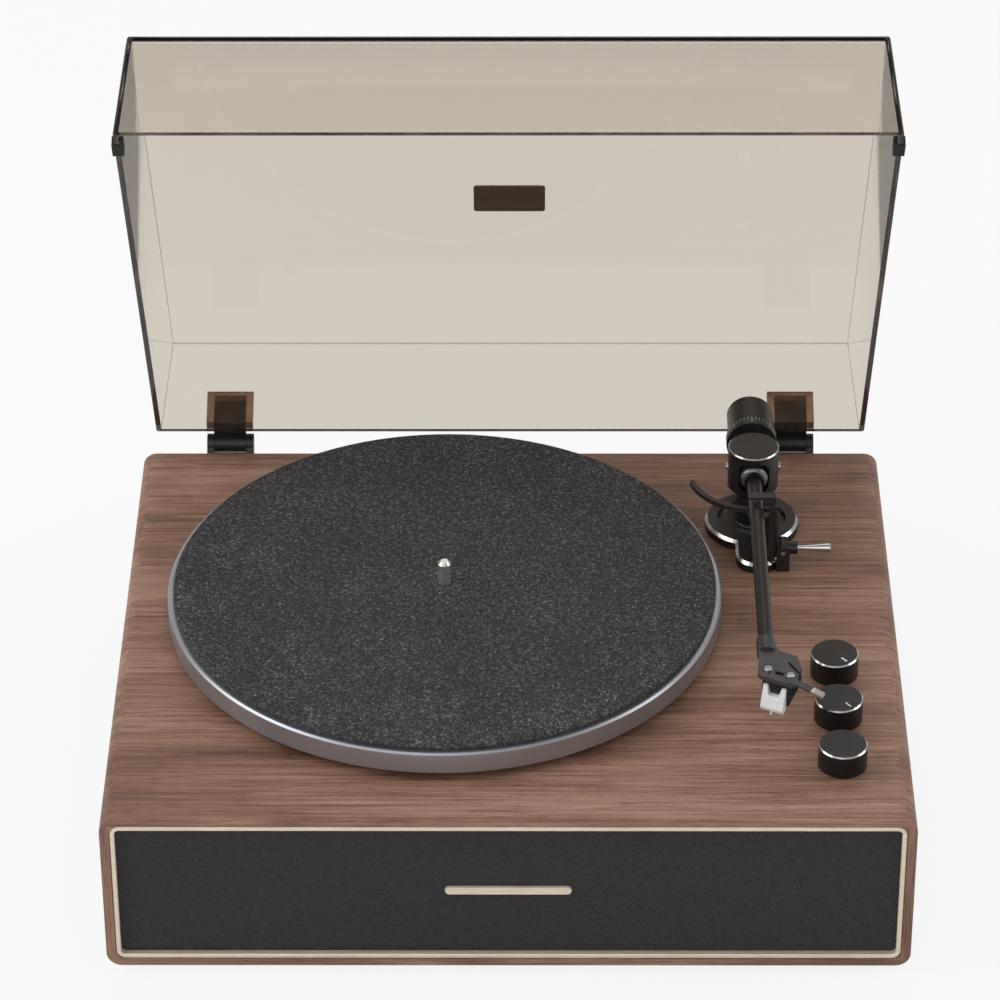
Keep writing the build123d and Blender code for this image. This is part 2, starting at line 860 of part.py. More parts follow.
socket_low = knuckle_radius
with BuildPart() as hinge_sockets:
    for place in hinge_places:
        with BuildSketch(cover_plane.offset(socket_low)):
            with Locations((place, -hinge_setback)):
                Rectangle(hinge_width, socket_depth, align=(Align.CENTER, Align.MIN))
            with Locations((place, (tongue_front + tongue_back) / 2)):
                Rectangle(tongue_width + fit_gap, tongue_thickness + fit_gap, mode=Mode.SUBTRACT)
        extrude(amount=socket_height)
        window_middle = (place, socket_depth - hinge_setback, socket_low + socket_height / 2)
        with Locations(cover_plane * Location(window_middle)):
            Box(socket_window_width, 2 * socket_window_depth, socket_window_height, mode=Mode.SUBTRACT)
save(hinge_sockets, "hinge_sockets")

# Platter bearing: a flanged tube through the deck with a thrust ball at its foot.
spindle_axis = Axis((platter_x, platter_y, 0), (0, 0, 1))
bearing_low = deck - bearing_depth
bore = bearing_shaft_radius + bearing_fit
with BuildPart() as bearing_housing:
    revolve(
        outline(
            upright(platter_x, platter_y),
            (0, bearing_low - bearing_floor),
            (bearing_tube_radius, bearing_low - bearing_floor),
            (bearing_tube_radius, deck),
            (bearing_flange_radius, deck),
            (bearing_flange_radius, deck + bearing_flange),
            (bore, deck + bearing_flange),
            (bore, bearing_low),
            (0, bearing_low),
        ),
        axis=spindle_axis,
    )
    drill(bearing_screw_places, wood_screw[0] + screw_gap, deck + bearing_flange, bearing_flange)
    with Locations((platter_x, platter_y, bearing_low + ball_gap / 2 + ball_radius)):
        Sphere(ball_radius)
save(bearing_housing, "bearing_housing")

# Spindle: shaft, collar, seat for the sub-platter and the pin that centres the record.
shaft_low = bearing_low + 2 * ball_radius + ball_gap
with BuildPart() as spindle:
    revolve(
        outline(
            upright(platter_x, platter_y),
            (0, shaft_low),
            (bearing_shaft_radius, shaft_low),
            (bearing_shaft_radius, sub_platter_bottom - spindle_collar_height),
            (spindle_collar_radius, sub_platter_bottom - spindle_collar_height),
            (spindle_collar_radius, sub_platter_bottom),
            (spindle_seat_radius, sub_platter_bottom),
            (spindle_seat_radius, platter_top),
            (spindle_neck_radius, platter_top),
            (spindle_neck_radius, mat_top),
            (spindle_radius, mat_top),
            (spindle_radius, spindle_top - spindle_tip),
            (spindle_radius - spindle_tip, spindle_top),
            (0, spindle_top),
        ),
        axis=spindle_axis,
    )
save(spindle, "spindle")

with BuildPart() as sub_platter:
    revolve(
        outline(
            upright(platter_x, platter_y),
            (spindle_seat_radius + slide_fit, sub_platter_bottom),
            (hub_radius, sub_platter_bottom),
            (hub_radius, web_bottom - sub_platter_web),
            (sub_platter_radius - sub_platter_rim, web_bottom - sub_platter_web),
            (sub_platter_radius - sub_platter_rim, sub_platter_bottom),
            (sub_platter_radius, sub_platter_bottom),
            (sub_platter_radius, web_bottom),
            (spindle_seat_radius + slide_fit, web_bottom),
        ),
        axis=spindle_axis,
    )
save(sub_platter, "sub_platter")

with BuildPart() as platter:
    revolve(
        outline(
            upright(platter_x, platter_y),
            (spindle_seat_radius + disc_clearance, web_bottom),
            (platter_radius - platter_rim, web_bottom),
            (platter_radius - platter_rim, platter_bottom),
            (platter_radius - platter_edge, platter_bottom),
            (platter_radius, platter_bottom + platter_edge),
            (platter_radius, platter_top - platter_edge),
            (platter_radius - platter_edge, platter_top),
            (spindle_seat_radius + disc_clearance, platter_top),
        ),
        axis=spindle_axis,
    )
save(platter, "platter")

with BuildPart() as platter_mat:
    revolve(
        outline(
            upright(platter_x, platter_y),
            (spindle_radius + 2 * disc_clearance, platter_top),
            (mat_radius - mat_edge, platter_top),
            (mat_radius, platter_top + mat_edge),
            (mat_radius, mat_top - mat_edge),
            (mat_radius - mat_edge, mat_top),
            (spindle_radius + 2 * disc_clearance, mat_top),
        ),
        axis=spindle_axis,
    )
save(platter_mat, "platter_mat")

# Motor hung under the deck on rubber grommets, its pulley and the flat belt.
motor_axis = Axis((motor_x, motor_y, 0), (0, 0, 1))
belt_low = sub_platter_bottom + (sub_platter_height - belt_height) / 2
pulley_low = belt_low - belt_gap - pulley_edge
pulley_high = belt_low + belt_height + belt_gap + pulley_edge
grommet_low = under_deck - grommet_height
motor_top = grommet_low - motor_plate_thickness
with BuildPart() as motor_grommets:
    with Locations(*[(x, y, under_deck - grommet_height / 2) for x, y in motor_screw_places]):
        Cylinder(grommet_radius, grommet_height)
    drill(motor_screw_places, plate_screw[0] + screw_gap, under_deck, grommet_height)
save(motor_grommets, "motor_grommets")

shaft_bore = motor_shaft_radius + bearing_fit
with BuildPart() as motor_can:
    revolve(
        outline(
            upright(motor_x, motor_y),
            (shaft_bore, motor_top - motor_height),
            (motor_radius - platter_edge, motor_top - motor_height),
            (motor_radius, motor_top - motor_height + platter_edge),
            (motor_radius, motor_top),
            (motor_plate_radius, motor_top),
            (motor_plate_radius, grommet_low),
            (motor_nose_radius, grommet_low),
            (motor_nose_radius, grommet_low + motor_plate_thickness),
            (shaft_bore, grommet_low + motor_plate_thickness),
        ),
        axis=motor_axis,
    )
    drill(motor_screw_places, plate_screw[0] + screw_gap, grommet_low, motor_plate_thickness)
save(motor_can, "motor_can")

with BuildPart() as motor_pulley:
    revolve(
        outline(
            upright(motor_x, motor_y),
            (shaft_bore, pulley_low),
            (pulley_radius + pulley_flange, pulley_low),
            (pulley_radius + pulley_flange, pulley_low + pulley_edge),
            (pulley_radius, pulley_low + pulley_edge),
            (pulley_radius, pulley_high - pulley_edge),
            (pulley_radius + pulley_flange, pulley_high - pulley_edge),
            (pulley_radius + pulley_flange, pulley_high),
            (shaft_bore, pulley_high),
        ),
        axis=motor_axis,
    )
    with Locations((motor_x, motor_y, motor_top - motor_height)):
        Cylinder(
            motor_shaft_radius,
            pulley_high - motor_top + motor_height,
            align=(Align.CENTER, Align.CENTER, Align.MIN),
        )
save(motor_pulley, "motor_pulley")

with BuildPart() as drive_belt:
    with BuildSketch(Plane.XY.offset(belt_low)):
        with Locations((platter_x, platter_y)):
            Circle(sub_platter_radius + belt_gap + belt_thickness)
        with Locations((motor_x, motor_y)):
            Circle(pulley_radius + belt_gap + belt_thickness)
        make_hull()
    extrude(amount=belt_height)
    with BuildSketch(Plane.XY.offset(belt_low)):
        with Locations((platter_x, platter_y)):
            Circle(sub_platter_radius + belt_gap)
        with Locations((motor_x, motor_y)):
            Circle(pulley_radius + belt_gap)
        make_hull()
    extrude(amount=belt_height, mode=Mode.SUBTRACT)
save(drive_belt, "drive_belt")

# Controls: three potentiometers under the deck with their nuts, and a knob on each shaft.
with BuildPart() as control_pots:
    for x, y in knob_places:
        with Locations((x, y, under_deck)):
            Box(pot_body, pot_body, pot_height, align=(Align.CENTER, Align.CENTER, Align.MAX))
            Cylinder(bushing_radius, wall + bushing_rise, align=(Align.CENTER, Align.CENTER, Align.MIN))
    drill(knob_places, shaft_radius + bearing_fit, deck + bushing_rise, wall + bushing_rise + shaft_in_pot)
save(control_pots, "control_pots")

with BuildPart() as panel_nuts:
    with BuildSketch(Plane.XY.offset(deck)):
        with Locations(*knob_places):
            RegularPolygon(nut_radius, 6)
            Circle(bushing_radius, mode=Mode.SUBTRACT)
    extrude(amount=nut_height)
    with BuildSketch(Plane.XY.offset(under_deck)):
        with Locations((arm_x, arm_y)):
            RegularPolygon(column_nut_radius, 6)
            Circle(column_thread_radius, mode=Mode.SUBTRACT)
    extrude(amount=-column_nut_height)
save(panel_nuts, "panel_nuts")

knob_names = ["power", "source", "volume"]
knob_low = deck + knob_gap
knob_high = knob_low + knob_height
for number, (x, y) in enumerate(knob_places):
    with BuildPart() as knob:
        with Locations((x, y, knob_low)):
            Cylinder(knob_radius, knob_height, align=(Align.CENTER, Align.CENTER, Align.MIN))
        chamfer(knob.faces().sort_by(Axis.Z)[-1].edges(), knob_edge)
        drill([(x, y)], knob_hollow_radius, knob_low + knob_hollow, knob_hollow)
        drill([(x, y)], shaft_radius + slide_fit, knob_low + knob_hollow + shaft_in_knob, shaft_in_knob)
        if number > 0:
            with BuildSketch(Plane(origin=(x, y, knob_high))):
                with Locations(Location((0, 0, 0), knob_mark_angle)):
                    with Locations(((knob_mark_inner + knob_mark_outer) / 2, 0)):
                        Rectangle(knob_mark_outer - knob_mark_inner, knob_mark_width)
            extrude(amount=-knob_mark_depth, mode=Mode.SUBTRACT)
        with Locations((x, y, under_deck - shaft_in_pot + fit_gap)):
            Cylinder(
                shaft_radius,
                knob_low + knob_hollow + shaft_in_knob - under_deck + shaft_in_pot - 2 * fit_gap,
                align=(Align.CENTER, Align.CENTER, Align.MIN),
            )
    save(knob, knob_names[number] + "_knob")

# Tonearm base: a round plate with a tongue and a polished edge, clamped by the column's nut.
arm_axis = Axis((arm_x, arm_y, 0), (0, 0, 1))
base_top = deck + base_height
with BuildPart() as tonearm_base:
    with BuildSketch(Plane.XY.offset(deck)):
        with Locations((arm_x, arm_y)):
            Circle(base_radius)
        with Locations((arm_x + base_tongue_shift, arm_y - base_tongue_reach / 2)):
            SlotCenterToCenter(base_tongue_reach, 2 * base_tongue_radius, rotation=90)
    extrude(amount=base_height)
    chamfer(tonearm_base.faces().sort_by(Axis.Z)[-1].edges(), base_edge)
    with BuildSketch(Plane.XY.offset(base_top)):
        with Locations((arm_x, arm_y)):
            Circle(base_ring_radius)
            Circle(column_radius + fit_gap, mode=Mode.SUBTRACT)
    extrude(amount=-base_ring_depth, mode=Mode.SUBTRACT)
    drill([(arm_x, arm_y)], column_thread_radius, base_top, base_height)
    drill([(lift_x, arm_y - lift_from_pivot)], lift_rod_radius + slide_fit, base_top, lift_rod_depth)
save(tonearm_base, "tonearm_base")

# Bearing column of the arm, threaded through the deck to its nut.
column_bore = yoke_spindle_radius + bearing_fit
column_low = under_deck - column_below
with BuildPart() as bearing_column:
    revolve(
        outline(
            upright(arm_x, arm_y),
            (column_bore, column_low),
            (column_thread_radius, column_low),
            (column_thread_radius, base_top),
            (column_radius, base_top),
            (column_radius, deck + column_height),
            (column_bore, deck + column_height),
        ),
        axis=arm_axis,
    )
save(bearing_column, "bearing_column")

# Yoke: a round housing with a window through it, its cap, its spindle and two pivot screws.
with BuildPart() as yoke_housing:
    with Locations((arm_x, arm_y, deck + yoke_bottom)):
        Cylinder(yoke_radius, yoke_top - yoke_bottom, align=(Align.CENTER, Align.CENTER, Align.MIN))
    chamfer(yoke_housing.faces().sort_by(Axis.Z)[0].edges(), yoke_foot_edge)
    with BuildSketch(facing(arm_y)):
        with Locations((arm_x, deck + (yoke_window_low + yoke_window_high) / 2)):
            RectangleRounded(yoke_window_width, yoke_window_high - yoke_window_low, yoke_window_corner)
    extrude(amount=2 * yoke_radius, both=True, mode=Mode.SUBTRACT)
    drill([(arm_x, arm_y)], yoke_spindle_radius, deck + yoke_window_low, yoke_window_low - yoke_bottom)
    with Locations((arm_x, arm_y, arm_z)):
        Cylinder(pivot_screw_radius, 4 * yoke_radius, rotation=(0, 90, 0), mode=Mode.SUBTRACT)
save(yoke_housing, "yoke_housing")

with BuildPart() as yoke_cap:
    with Locations((arm_x, arm_y, deck + yoke_top)):
        Cylinder(yoke_radius, yoke_cap_thickness, align=(Align.CENTER, Align.CENTER, Align.MIN))
    chamfer(yoke_cap.faces().sort_by(Axis.Z)[-1].edges(), yoke_cap_edge)
save(yoke_cap, "yoke_cap")

with BuildPart() as yoke_spindle:
    revolve(
        outline(
            upright(arm_x, arm_y),
            (0, column_low - yoke_spindle_below / 2),
            (yoke_spindle_radius, column_low - yoke_spindle_below / 2),
            (yoke_spindle_radius, deck + column_height + yoke_collar_gap),
            (yoke_collar_radius, deck + column_height + yoke_collar_gap),
            (yoke_collar_radius, deck + yoke_bottom),
            (yoke_spindle_radius, deck + yoke_bottom),
            (yoke_spindle_radius, deck + yoke_window_low),
            (0, deck + yoke_window_low),
        ),
        axis=arm_axis,
    )
save(yoke_spindle, "yoke_spindle")

pivot_screw_start = hub_ball_radius + pivot_screw_gap
pivot_screw_length = yoke_radius + pivot_screw_proud - pivot_screw_start
with BuildPart() as pivot_screws:
    for side in (-1, 1):
        with Locations((arm_x + side * (pivot_screw_start + pivot_screw_length / 2), arm_y, arm_z)):
            Cylinder(pivot_screw_radius, pivot_screw_length, rotation=(0, 90, 0))
        with Locations((arm_x + side * (yoke_radius + pivot_screw_proud), arm_y, arm_z)):
            Box(pivot_screw_proud, 3 * pivot_screw_radius, 0.3 * pivot_screw_radius, mode=Mode.SUBTRACT)
save(pivot_screws, "pivot_screws")

# Arm: a hub ball in the window with its sleeve, the straight tube, and the shaft that carries the weight.
tube_axis = Axis((arm_x, arm_y, arm_z), (0, 1, 0))
with BuildPart() as arm_hub:
    with Locations((arm_x, arm_y, arm_z)):
        Sphere(hub_ball_radius)
    with Locations((arm_x, arm_y - (hub_sleeve_start + hub_sleeve_end) / 2, arm_z)):
        Cylinder(hub_sleeve_radius, hub_sleeve_end - hub_sleeve_start, rotation=(90, 0, 0))
    fillet(arm_hub.faces().sort_by(Axis.Y)[0].edges(), hub_sleeve_round)
    with Locations((arm_x, arm_y - hub_sleeve_end - hub_ring_length / 2, arm_z)):
        Cylinder(hub_ring_radius, hub_ring_length, rotation=(90, 0, 0))
    with Locations((arm_x, arm_y, arm_z)):
        Cylinder(tube_radius, 2 * base_radius, rotation=(90, 0, 0), mode=Mode.SUBTRACT)
save(arm_hub, "arm_hub")

with BuildPart() as arm_tube:
    revolve(
        outline(
            lengthwise(arm_x, arm_y, arm_z),
            (tube_radius - tube_wall, -tube_front),
            (tube_radius, -tube_front),
            (tube_radius, tube_back),
            (tube_radius - tube_wall, tube_back),
        ),
        axis=tube_axis,
    )
save(arm_tube, "arm_tube")

with BuildPart() as weight_shaft:
    revolve(
        outline(
            lengthwise(arm_x, arm_y, arm_z),
            (0, -tube_back),
            (tube_radius - tube_wall, -tube_back),
            (tube_radius - tube_wall, tube_back),
            (tube_radius, tube_back),
            (tube_radius, tube_back + shaft_shoulder),
            (weight_shaft_radius, tube_back + shaft_shoulder),
            (weight_shaft_radius, weight_shaft_reach),
            (0, weight_shaft_reach),
        ),
        axis=tube_axis,
    )
save(weight_shaft, "weight_shaft")

# Counterweight on its sliding bush, with the stylus-force dial in front of it.
dial_start = weight_start - dial_gap - dial_length
bush_bore = weight_shaft_radius + slide_fit
weight_bore = weight_bush_radius + slide_fit
with BuildPart() as weight_bush:
    revolve(
        outline(
            lengthwise(arm_x, arm_y, arm_z),
            (bush_bore, dial_start - bush_proud),
            (weight_bush_radius, dial_start - bush_proud),
            (weight_bush_radius, weight_start + weight_length - bush_sunk),
            (bush_bore, weight_start + weight_length - bush_sunk),
        ),
        axis=tube_axis,
    )
save(weight_bush, "weight_bush")

with BuildPart() as counterweight:
    revolve(
        outline(
            lengthwise(arm_x, arm_y, arm_z),
            (weight_bore, weight_start),
            (weight_radius - weight_edge, weight_start),
            (weight_radius, weight_start + weight_edge),
            (weight_radius, weight_start + weight_length - weight_edge),
            (weight_radius - weight_edge, weight_start + weight_length),
            (weight_bore, weight_start + weight_length),
        ),
        axis=tube_axis,
    )
save(counterweight, "counterweight")

with BuildPart() as weight_dial:
    revolve(
        outline(
            lengthwise(arm_x, arm_y, arm_z),
            (weight_bore, dial_start),
            (dial_radius, dial_start),
            (dial_radius, dial_start + dial_length),
            (weight_bore, dial_start + dial_length),
        ),
        axis=tube_axis,
    )
save(weight_dial, "weight_dial")

# Headshell with its finger lift, turned inwards by the offset angle at the end of the tube.
# The cartridge plane has X to the cartridge's right side and Y along its axis to the stylus;
# the upright front plane keeps that X and has Y up.
turn = math.radians(offset_angle)
cartridge_plane = Plane(
    origin=(arm_x + cartridge_side, arm_y - cartridge_forward, arm_z),
    x_dir=(math.cos(turn), -math.sin(turn), 0),
    z_dir=(0, 0, -1),
)
cartridge_front = Plane(
    origin=cartridge_plane.origin,
    x_dir=cartridge_plane.x_dir,
    z_dir=cartridge_plane.y_dir,
)
headshell_low = headshell_rise
headshell_high = headshell_low + headshell_thickness
screw_half = cartridge_screw_pitch / 2
headshell_points = [
    (-tube_radius, -tube_front),
    (-tube_radius - 1.6, -tube_front - 25.5),
    (-tube_radius - 0.6, -tube_front - 28.2),
    (11.2, -tube_front - 36.4),
    (13.6, -tube_front - 35.0),
    (17.2, -tube_front - 21.5),
    (15.6, -tube_front - 11.5),
    (6.4, -tube_front - 6.2),
    (tube_radius, -tube_front),
]
with BuildPart() as headshell:
    extrude(
        outline(Plane(origin=(arm_x, arm_y, arm_z + headshell_low)), *headshell_points),
        amount=headshell_thickness,
    )
    with Locations((arm_x, arm_y - tube_front - collar_front + collar_length / 2, arm_z)):
        Cylinder(collar_radius, collar_length, rotation=(90, 0, 0))
    with Locations((arm_x, arm_y - tube_front, arm_z)):
        Cylinder(
            tube_radius,
            collar_length,
            rotation=(-90, 0, 0),
            align=(Align.CENTER, Align.CENTER, Align.MIN),
            mode=Mode.SUBTRACT,
        )
    with BuildSketch(cartridge_plane.offset(-headshell_high)):
        with Locations((-screw_half, 0), (screw_half, 0)):
            Circle(headshell_screw_radius)
        with Locations((0, 0)):
            SlotOverall(shell_slot_length, shell_slot_width)
        with Locations(*[Location((x, y, 0), shell_vent_angle) for x, y in shell_vents]):
            SlotOverall(shell_vent_length, shell_vent_width)
    extrude(amount=headshell_thickness, mode=Mode.SUBTRACT)
    lift_line = [
        (lift_strip_start, headshell_high),
        (lift_strip_bend, headshell_high),
        (lift_strip_end - lift_strip_tip, -lift_strip_drop + lift_strip_thickness),
        (lift_strip_end, -lift_strip_drop),
    ]
    extrude(
        outline(
            cartridge_front.offset(lift_strip_forward),
            *lift_line,
            *[(x, z + lift_strip_thickness) for x, z in reversed(lift_line)],
        ),
        amount=lift_strip_width,
    )
save(headshell, "headshell")

with BuildPart() as headshell_screws:
    size = (headshell_screw_radius, headshell_screw_length, headshell_screw_head, headshell_screw_rise)
    for side in (-1, 1):
        x, y, z = (cartridge_plane * Location((side * screw_half, 0, -headshell_high))).position
        with Locations((x, y, z)):
            add(screw(size))
save(headshell_screws, "headshell_screws")

# Cartridge: body under the headshell, the replaceable stylus carrier in front, the stylus.
cartridge_side_plane = Plane(
    origin=cartridge_plane.origin,
    x_dir=cartridge_plane.y_dir,
    z_dir=-cartridge_plane.x_dir,
)
cartridge_top = headshell_low
face_low = cartridge_floor - arm_height
carrier_high = carrier_top - arm_height
carrier_low = carrier_bottom - arm_height
tip_low = stylus_height - arm_height
with BuildPart() as cartridge_body:
    extrude(
        outline(
            cartridge_side_plane,
            (-cartridge_back, cartridge_top),
            (cartridge_face, cartridge_top),
            (cartridge_face, face_low),
            (-cartridge_back, face_low + cartridge_back_rise),
        ),
        amount=cartridge_width / 2,
        both=True,
    )
    with BuildSketch(cartridge_plane.offset(-cartridge_top)):
        with Locations((-screw_half, 0), (screw_half, 0)):
            Circle(headshell_screw_radius)
    extrude(amount=headshell_screw_length, mode=Mode.SUBTRACT)
save(cartridge_body, "cartridge_body")

with BuildPart() as stylus_carrier:
    extrude(
        outline(
            cartridge_side_plane,
            (cartridge_face, carrier_high),
            (cartridge_face + carrier_edge, carrier_high),
            (carrier_nose, carrier_low + 2 * carrier_edge),
            (carrier_nose - carrier_edge, carrier_low),
            (cartridge_face, carrier_low + carrier_edge),
        ),
        amount=carrier_width / 2,
        both=True,
    )
    extrude(
        outline(
            cartridge_front,
            (-carrier_notch_width / 2, carrier_high),
            (carrier_notch_width / 2, carrier_high),
            (carrier_notch_width / 2 - carrier_edge, carrier_high - carrier_notch_depth),
            (-carrier_notch_width / 2 + carrier_edge, carrier_high - carrier_notch_depth),
        ),
        amount=2 * carrier_nose,
        mode=Mode.SUBTRACT,
    )
    extrude(
        outline(
            cartridge_side_plane,
            (cartridge_face + carrier_edge, carrier_low + cantilever_rise),
            (stylus_overreach - cantilever_radius, tip_low + stylus_length),
            (stylus_overreach - cantilever_radius, tip_low),
            (stylus_overreach, tip_low),
            (stylus_overreach, tip_low + stylus_length + cantilever_radius),
            (cartridge_face + carrier_edge, carrier_low + cantilever_rise + 2 * cantilever_radius),
        ),
        amount=cantilever_radius,
        both=True,
    )
save(stylus_carrier, "stylus_carrier")

# Arm rest: a post on the base's tongue with a shelf under the tube and a hook over it.
rest_y = arm_y - rest_from_pivot
shelf_top = arm_z - tube_radius - rest_gap
hook_low = arm_z + tube_radius + rest_hook_clear
with BuildPart() as arm_rest:
    with BuildSketch(facing(rest_y - rest_length / 2)):
        with BuildLine():
            Polyline(
                (rest_x - rest_thickness / 2, base_top),
                (rest_x + rest_thickness / 2, base_top),
                (rest_x + rest_thickness / 2, hook_low + rest_shelf),
                (arm_x - rest_reach, hook_low + rest_shelf),
                (arm_x - rest_reach, hook_low),
                (rest_x - rest_thickness / 2, hook_low),
                (rest_x - rest_thickness / 2, shelf_top),
                (arm_x - rest_reach, shelf_top),
                (arm_x - rest_reach, shelf_top - rest_shelf),
                (rest_x - rest_thickness / 2, shelf_top - rest_shelf),
                close=True,
            )
        make_face()
    extrude(amount=-rest_length)
save(arm_rest, "arm_rest")

# Cueing lift: a damped cylinder, the curved bar under the tube, and the lever in its bracket.
lift_y = arm_y - lift_from_pivot
with BuildPart() as lift_cylinder:
    with Locations((lift_x, lift_y, base_top)):
        Cylinder(
            lift_cylinder_radius,
            lift_cylinder_top - base_height,
            align=(Align.CENTER, Align.CENTER, Align.MIN),
        )
    chamfer(lift_cylinder.faces().sort_by(Axis.Z)[-1].edges(), lift_cylinder_edge)
    drill(
        [(lift_x, lift_y)],
        lift_rod_radius + slide_fit,
        deck + lift_cylinder_top,
        lift_cylinder_top - base_height,
    )
save(lift_cylinder, "lift_cylinder")

lift_bar_top = arm_z - tube_radius - lift_bar_gap
lift_bar_low = lift_bar_top - lift_bar_height
link_angle = math.degrees(math.atan2(lift_x - arm_x, lift_from_pivot))
link_start = math.hypot(lift_x - arm_x, lift_from_pivot)
with BuildPart() as lift_bar:
    with BuildSketch(Plane(origin=(arm_x, arm_y, lift_bar_low))):
        with BuildLine(mode=Mode.PRIVATE) as bar_line:
            CenterArc((0, 0), lift_bar_radius, -90.0 + link_angle, -(link_angle + lift_bar_left))
        SlotArc(bar_line.edges()[0], lift_bar_width)
    extrude(amount=lift_bar_height)
    with BuildSketch(Plane(origin=(arm_x, arm_y, lift_bar_low))):
        with Locations(Location((0, 0, 0), -90.0 + link_angle)):
            with Locations(((link_start + lift_bar_radius) / 2, 0)):
                SlotOverall(lift_bar_radius - link_start + lift_link_width, lift_link_width)
    extrude(amount=lift_bar_height)
    with Locations((lift_x, lift_y, base_top + lift_bar_height)):
        Cylinder(
            lift_rod_radius,
            lift_bar_low - base_top - lift_bar_height / 2,
            align=(Align.CENTER, Align.CENTER, Align.MIN),
        )
save(lift_bar, "lift_bar")

lever_y = arm_y - lever_from_pivot
lever_z = deck + lever_height
ear_inside = lever_sleeve_radius + bracket_gap
with BuildPart() as lever_bracket:
    with Locations((lever_x, lever_y, deck)):
        Box(
            2 * lever_sleeve_radius,
            2 * (ear_inside + bracket_ear),
            bracket_base,
            align=(Align.CENTER, Align.CENTER, Align.MIN),
        )
    for side in (-1, 1):
        with Locations((lever_x, lever_y + side * (ear_inside + bracket_ear / 2), deck)):
            Box(
                2 * lever_sleeve_radius,
                bracket_ear,
                lever_height + lever_sleeve_radius,
                align=(Align.CENTER, Align.CENTER, Align.MIN),
            )
    fillet(lever_bracket.edges().filter_by(Axis.Y).group_by(Axis.Z)[-1], lever_sleeve_radius * 0.8)
    with Locations((lever_x, lever_y, lever_z)):
        Cylinder(lever_pin_radius + pin_fit, 6 * ear_inside, rotation=(90, 0, 0), mode=Mode.SUBTRACT)
    add(tonearm_base.part, mode=Mode.SUBTRACT)
save(lever_bracket, "lever_bracket")

# Pins of the cover hinges and of the cueing lever.
with BuildPart() as pivot_pins:
    with Locations(*[(place, hinge_y, hinge_z) for place in hinge_places]):
        Cylinder(hinge_pin_radius, hinge_width, rotation=(0, 90, 0))
    with Locations((lever_x, lever_y, lever_z)):
        Cylinder(lever_pin_radius, 2 * (ear_inside + bracket_ear), rotation=(90, 0, 0))
save(pivot_pins, "pivot_pins")

with BuildPart() as cue_lever:
    with Locations((lever_x, lever_y, lever_z)):
        Cylinder(lever_sleeve_radius, 2 * lever_sleeve_radius, rotation=(90, 0, 0))
    revolve(
        outline(
            lengthwise(0, lever_y, lever_z),
            (lever_x, 0),
            (lever_x, lever_sleeve_radius),
            (lever_sleeve_end, lever_sleeve_radius),
            (lever_sleeve_end, lever_rod_radius),
            (lever_rod_end, lever_rod_radius),
            (lever_grip_end - lever_grip_edge, lever_grip_radius),
            (lever_grip_end, lever_grip_radius - lever_grip_edge),
            (lever_grip_end, 0),
        ),
        axis=Axis((0, lever_y, lever_z), (1, 0, 0)),
    )
    with Locations((lever_x, lever_y, lever_z)):
        Cylinder(lever_pin_radius + pin_fit, 6 * ear_inside, rotation=(90, 0, 0), mode=Mode.SUBTRACT)
save(cue_lever, "cue_lever")

# Amplifier board on four standoffs inside the cabinet.
board_z = cabinet_floor + standoff_height
with BuildPart() as board_standoffs:
    with Locations(*[(x, y, cabinet_floor + standoff_height / 2) for x, y in board_screw_places]):
        Cylinder(standoff_radius, standoff_height)
    drill(board_screw_places, board_screw[0] + screw_gap, board_z, standoff_height)
save(board_standoffs, "board_standoffs")

with BuildPart() as main_board:
    with Locations((board_x, board_y, board_z + board_thickness / 2)):
        Box(board_length, board_width, board_thickness)
    drill(board_screw_places, board_screw[0] + screw_gap, board_z + board_thickness, board_thickness)
save(main_board, "main_board")

with BuildPart() as board_screws:
    with Locations(*[(x, y, board_z + board_thickness) for x, y in board_screw_places]):
        add(screw(board_screw))
save(board_screws, "board_screws")

# Heat sink with its fins, and a row of capacitors.
on_board = (Align.CENTER, Align.CENTER, Align.MIN)
heat_sink_width = heat_sink_pitch * (heat_sink_fins - 1) + heat_sink_fin
with BuildPart() as board_parts:
    with Locations((board_x, board_y + board_width / 4, board_z + board_thickness)):
        Box(heat_sink_length, heat_sink_width, heat_sink_base, align=on_board)
        with GridLocations(0, heat_sink_pitch, 1, heat_sink_fins):
            Box(heat_sink_length, heat_sink_fin, heat_sink_height, align=on_board)
    with Locations((board_x, board_y - board_width / 5, board_z + board_thickness)):
        with GridLocations(capacitor_pitch, 0, capacitor_count, 1):
            Cylinder(capacitor_radius, capacitor_height, align=on_board)
save(board_parts, "board_parts")

# Wood screws of the feet and the platter bearing.
with BuildPart() as wood_screws:
    with Locations(*[(x, y, deck + bearing_flange) for x, y in bearing_screw_places]):
        add(screw(wood_screw))
    with Locations(*[downward(x, y, foot_height - foot_screw_seat) for x, y in foot_places]):
        add(screw(wood_screw))
save(wood_screws, "wood_screws")

# Smaller screws of the speakers, the back panel and the motor.
with BuildPart() as panel_screws:
    for place in speaker_places:
        seats = ring(place, middle, speaker_screw_ring, speaker_screws, 45.0)
        with Locations(*[rearward(x, baffle_back + speaker_flange, z) for x, z in seats]):
            add(screw(plate_screw))
    with Locations(*[rearward(x, panel_back, z) for x, z in panel_screw_places]):
        add(screw(plate_screw))
    with Locations(*[downward(x, y, motor_top) for x, y in motor_screw_places]):
        add(screw(plate_screw))
save(panel_screws, "panel_screws")
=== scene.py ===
import bpy
import json
import math
from mathutils import Matrix, Vector


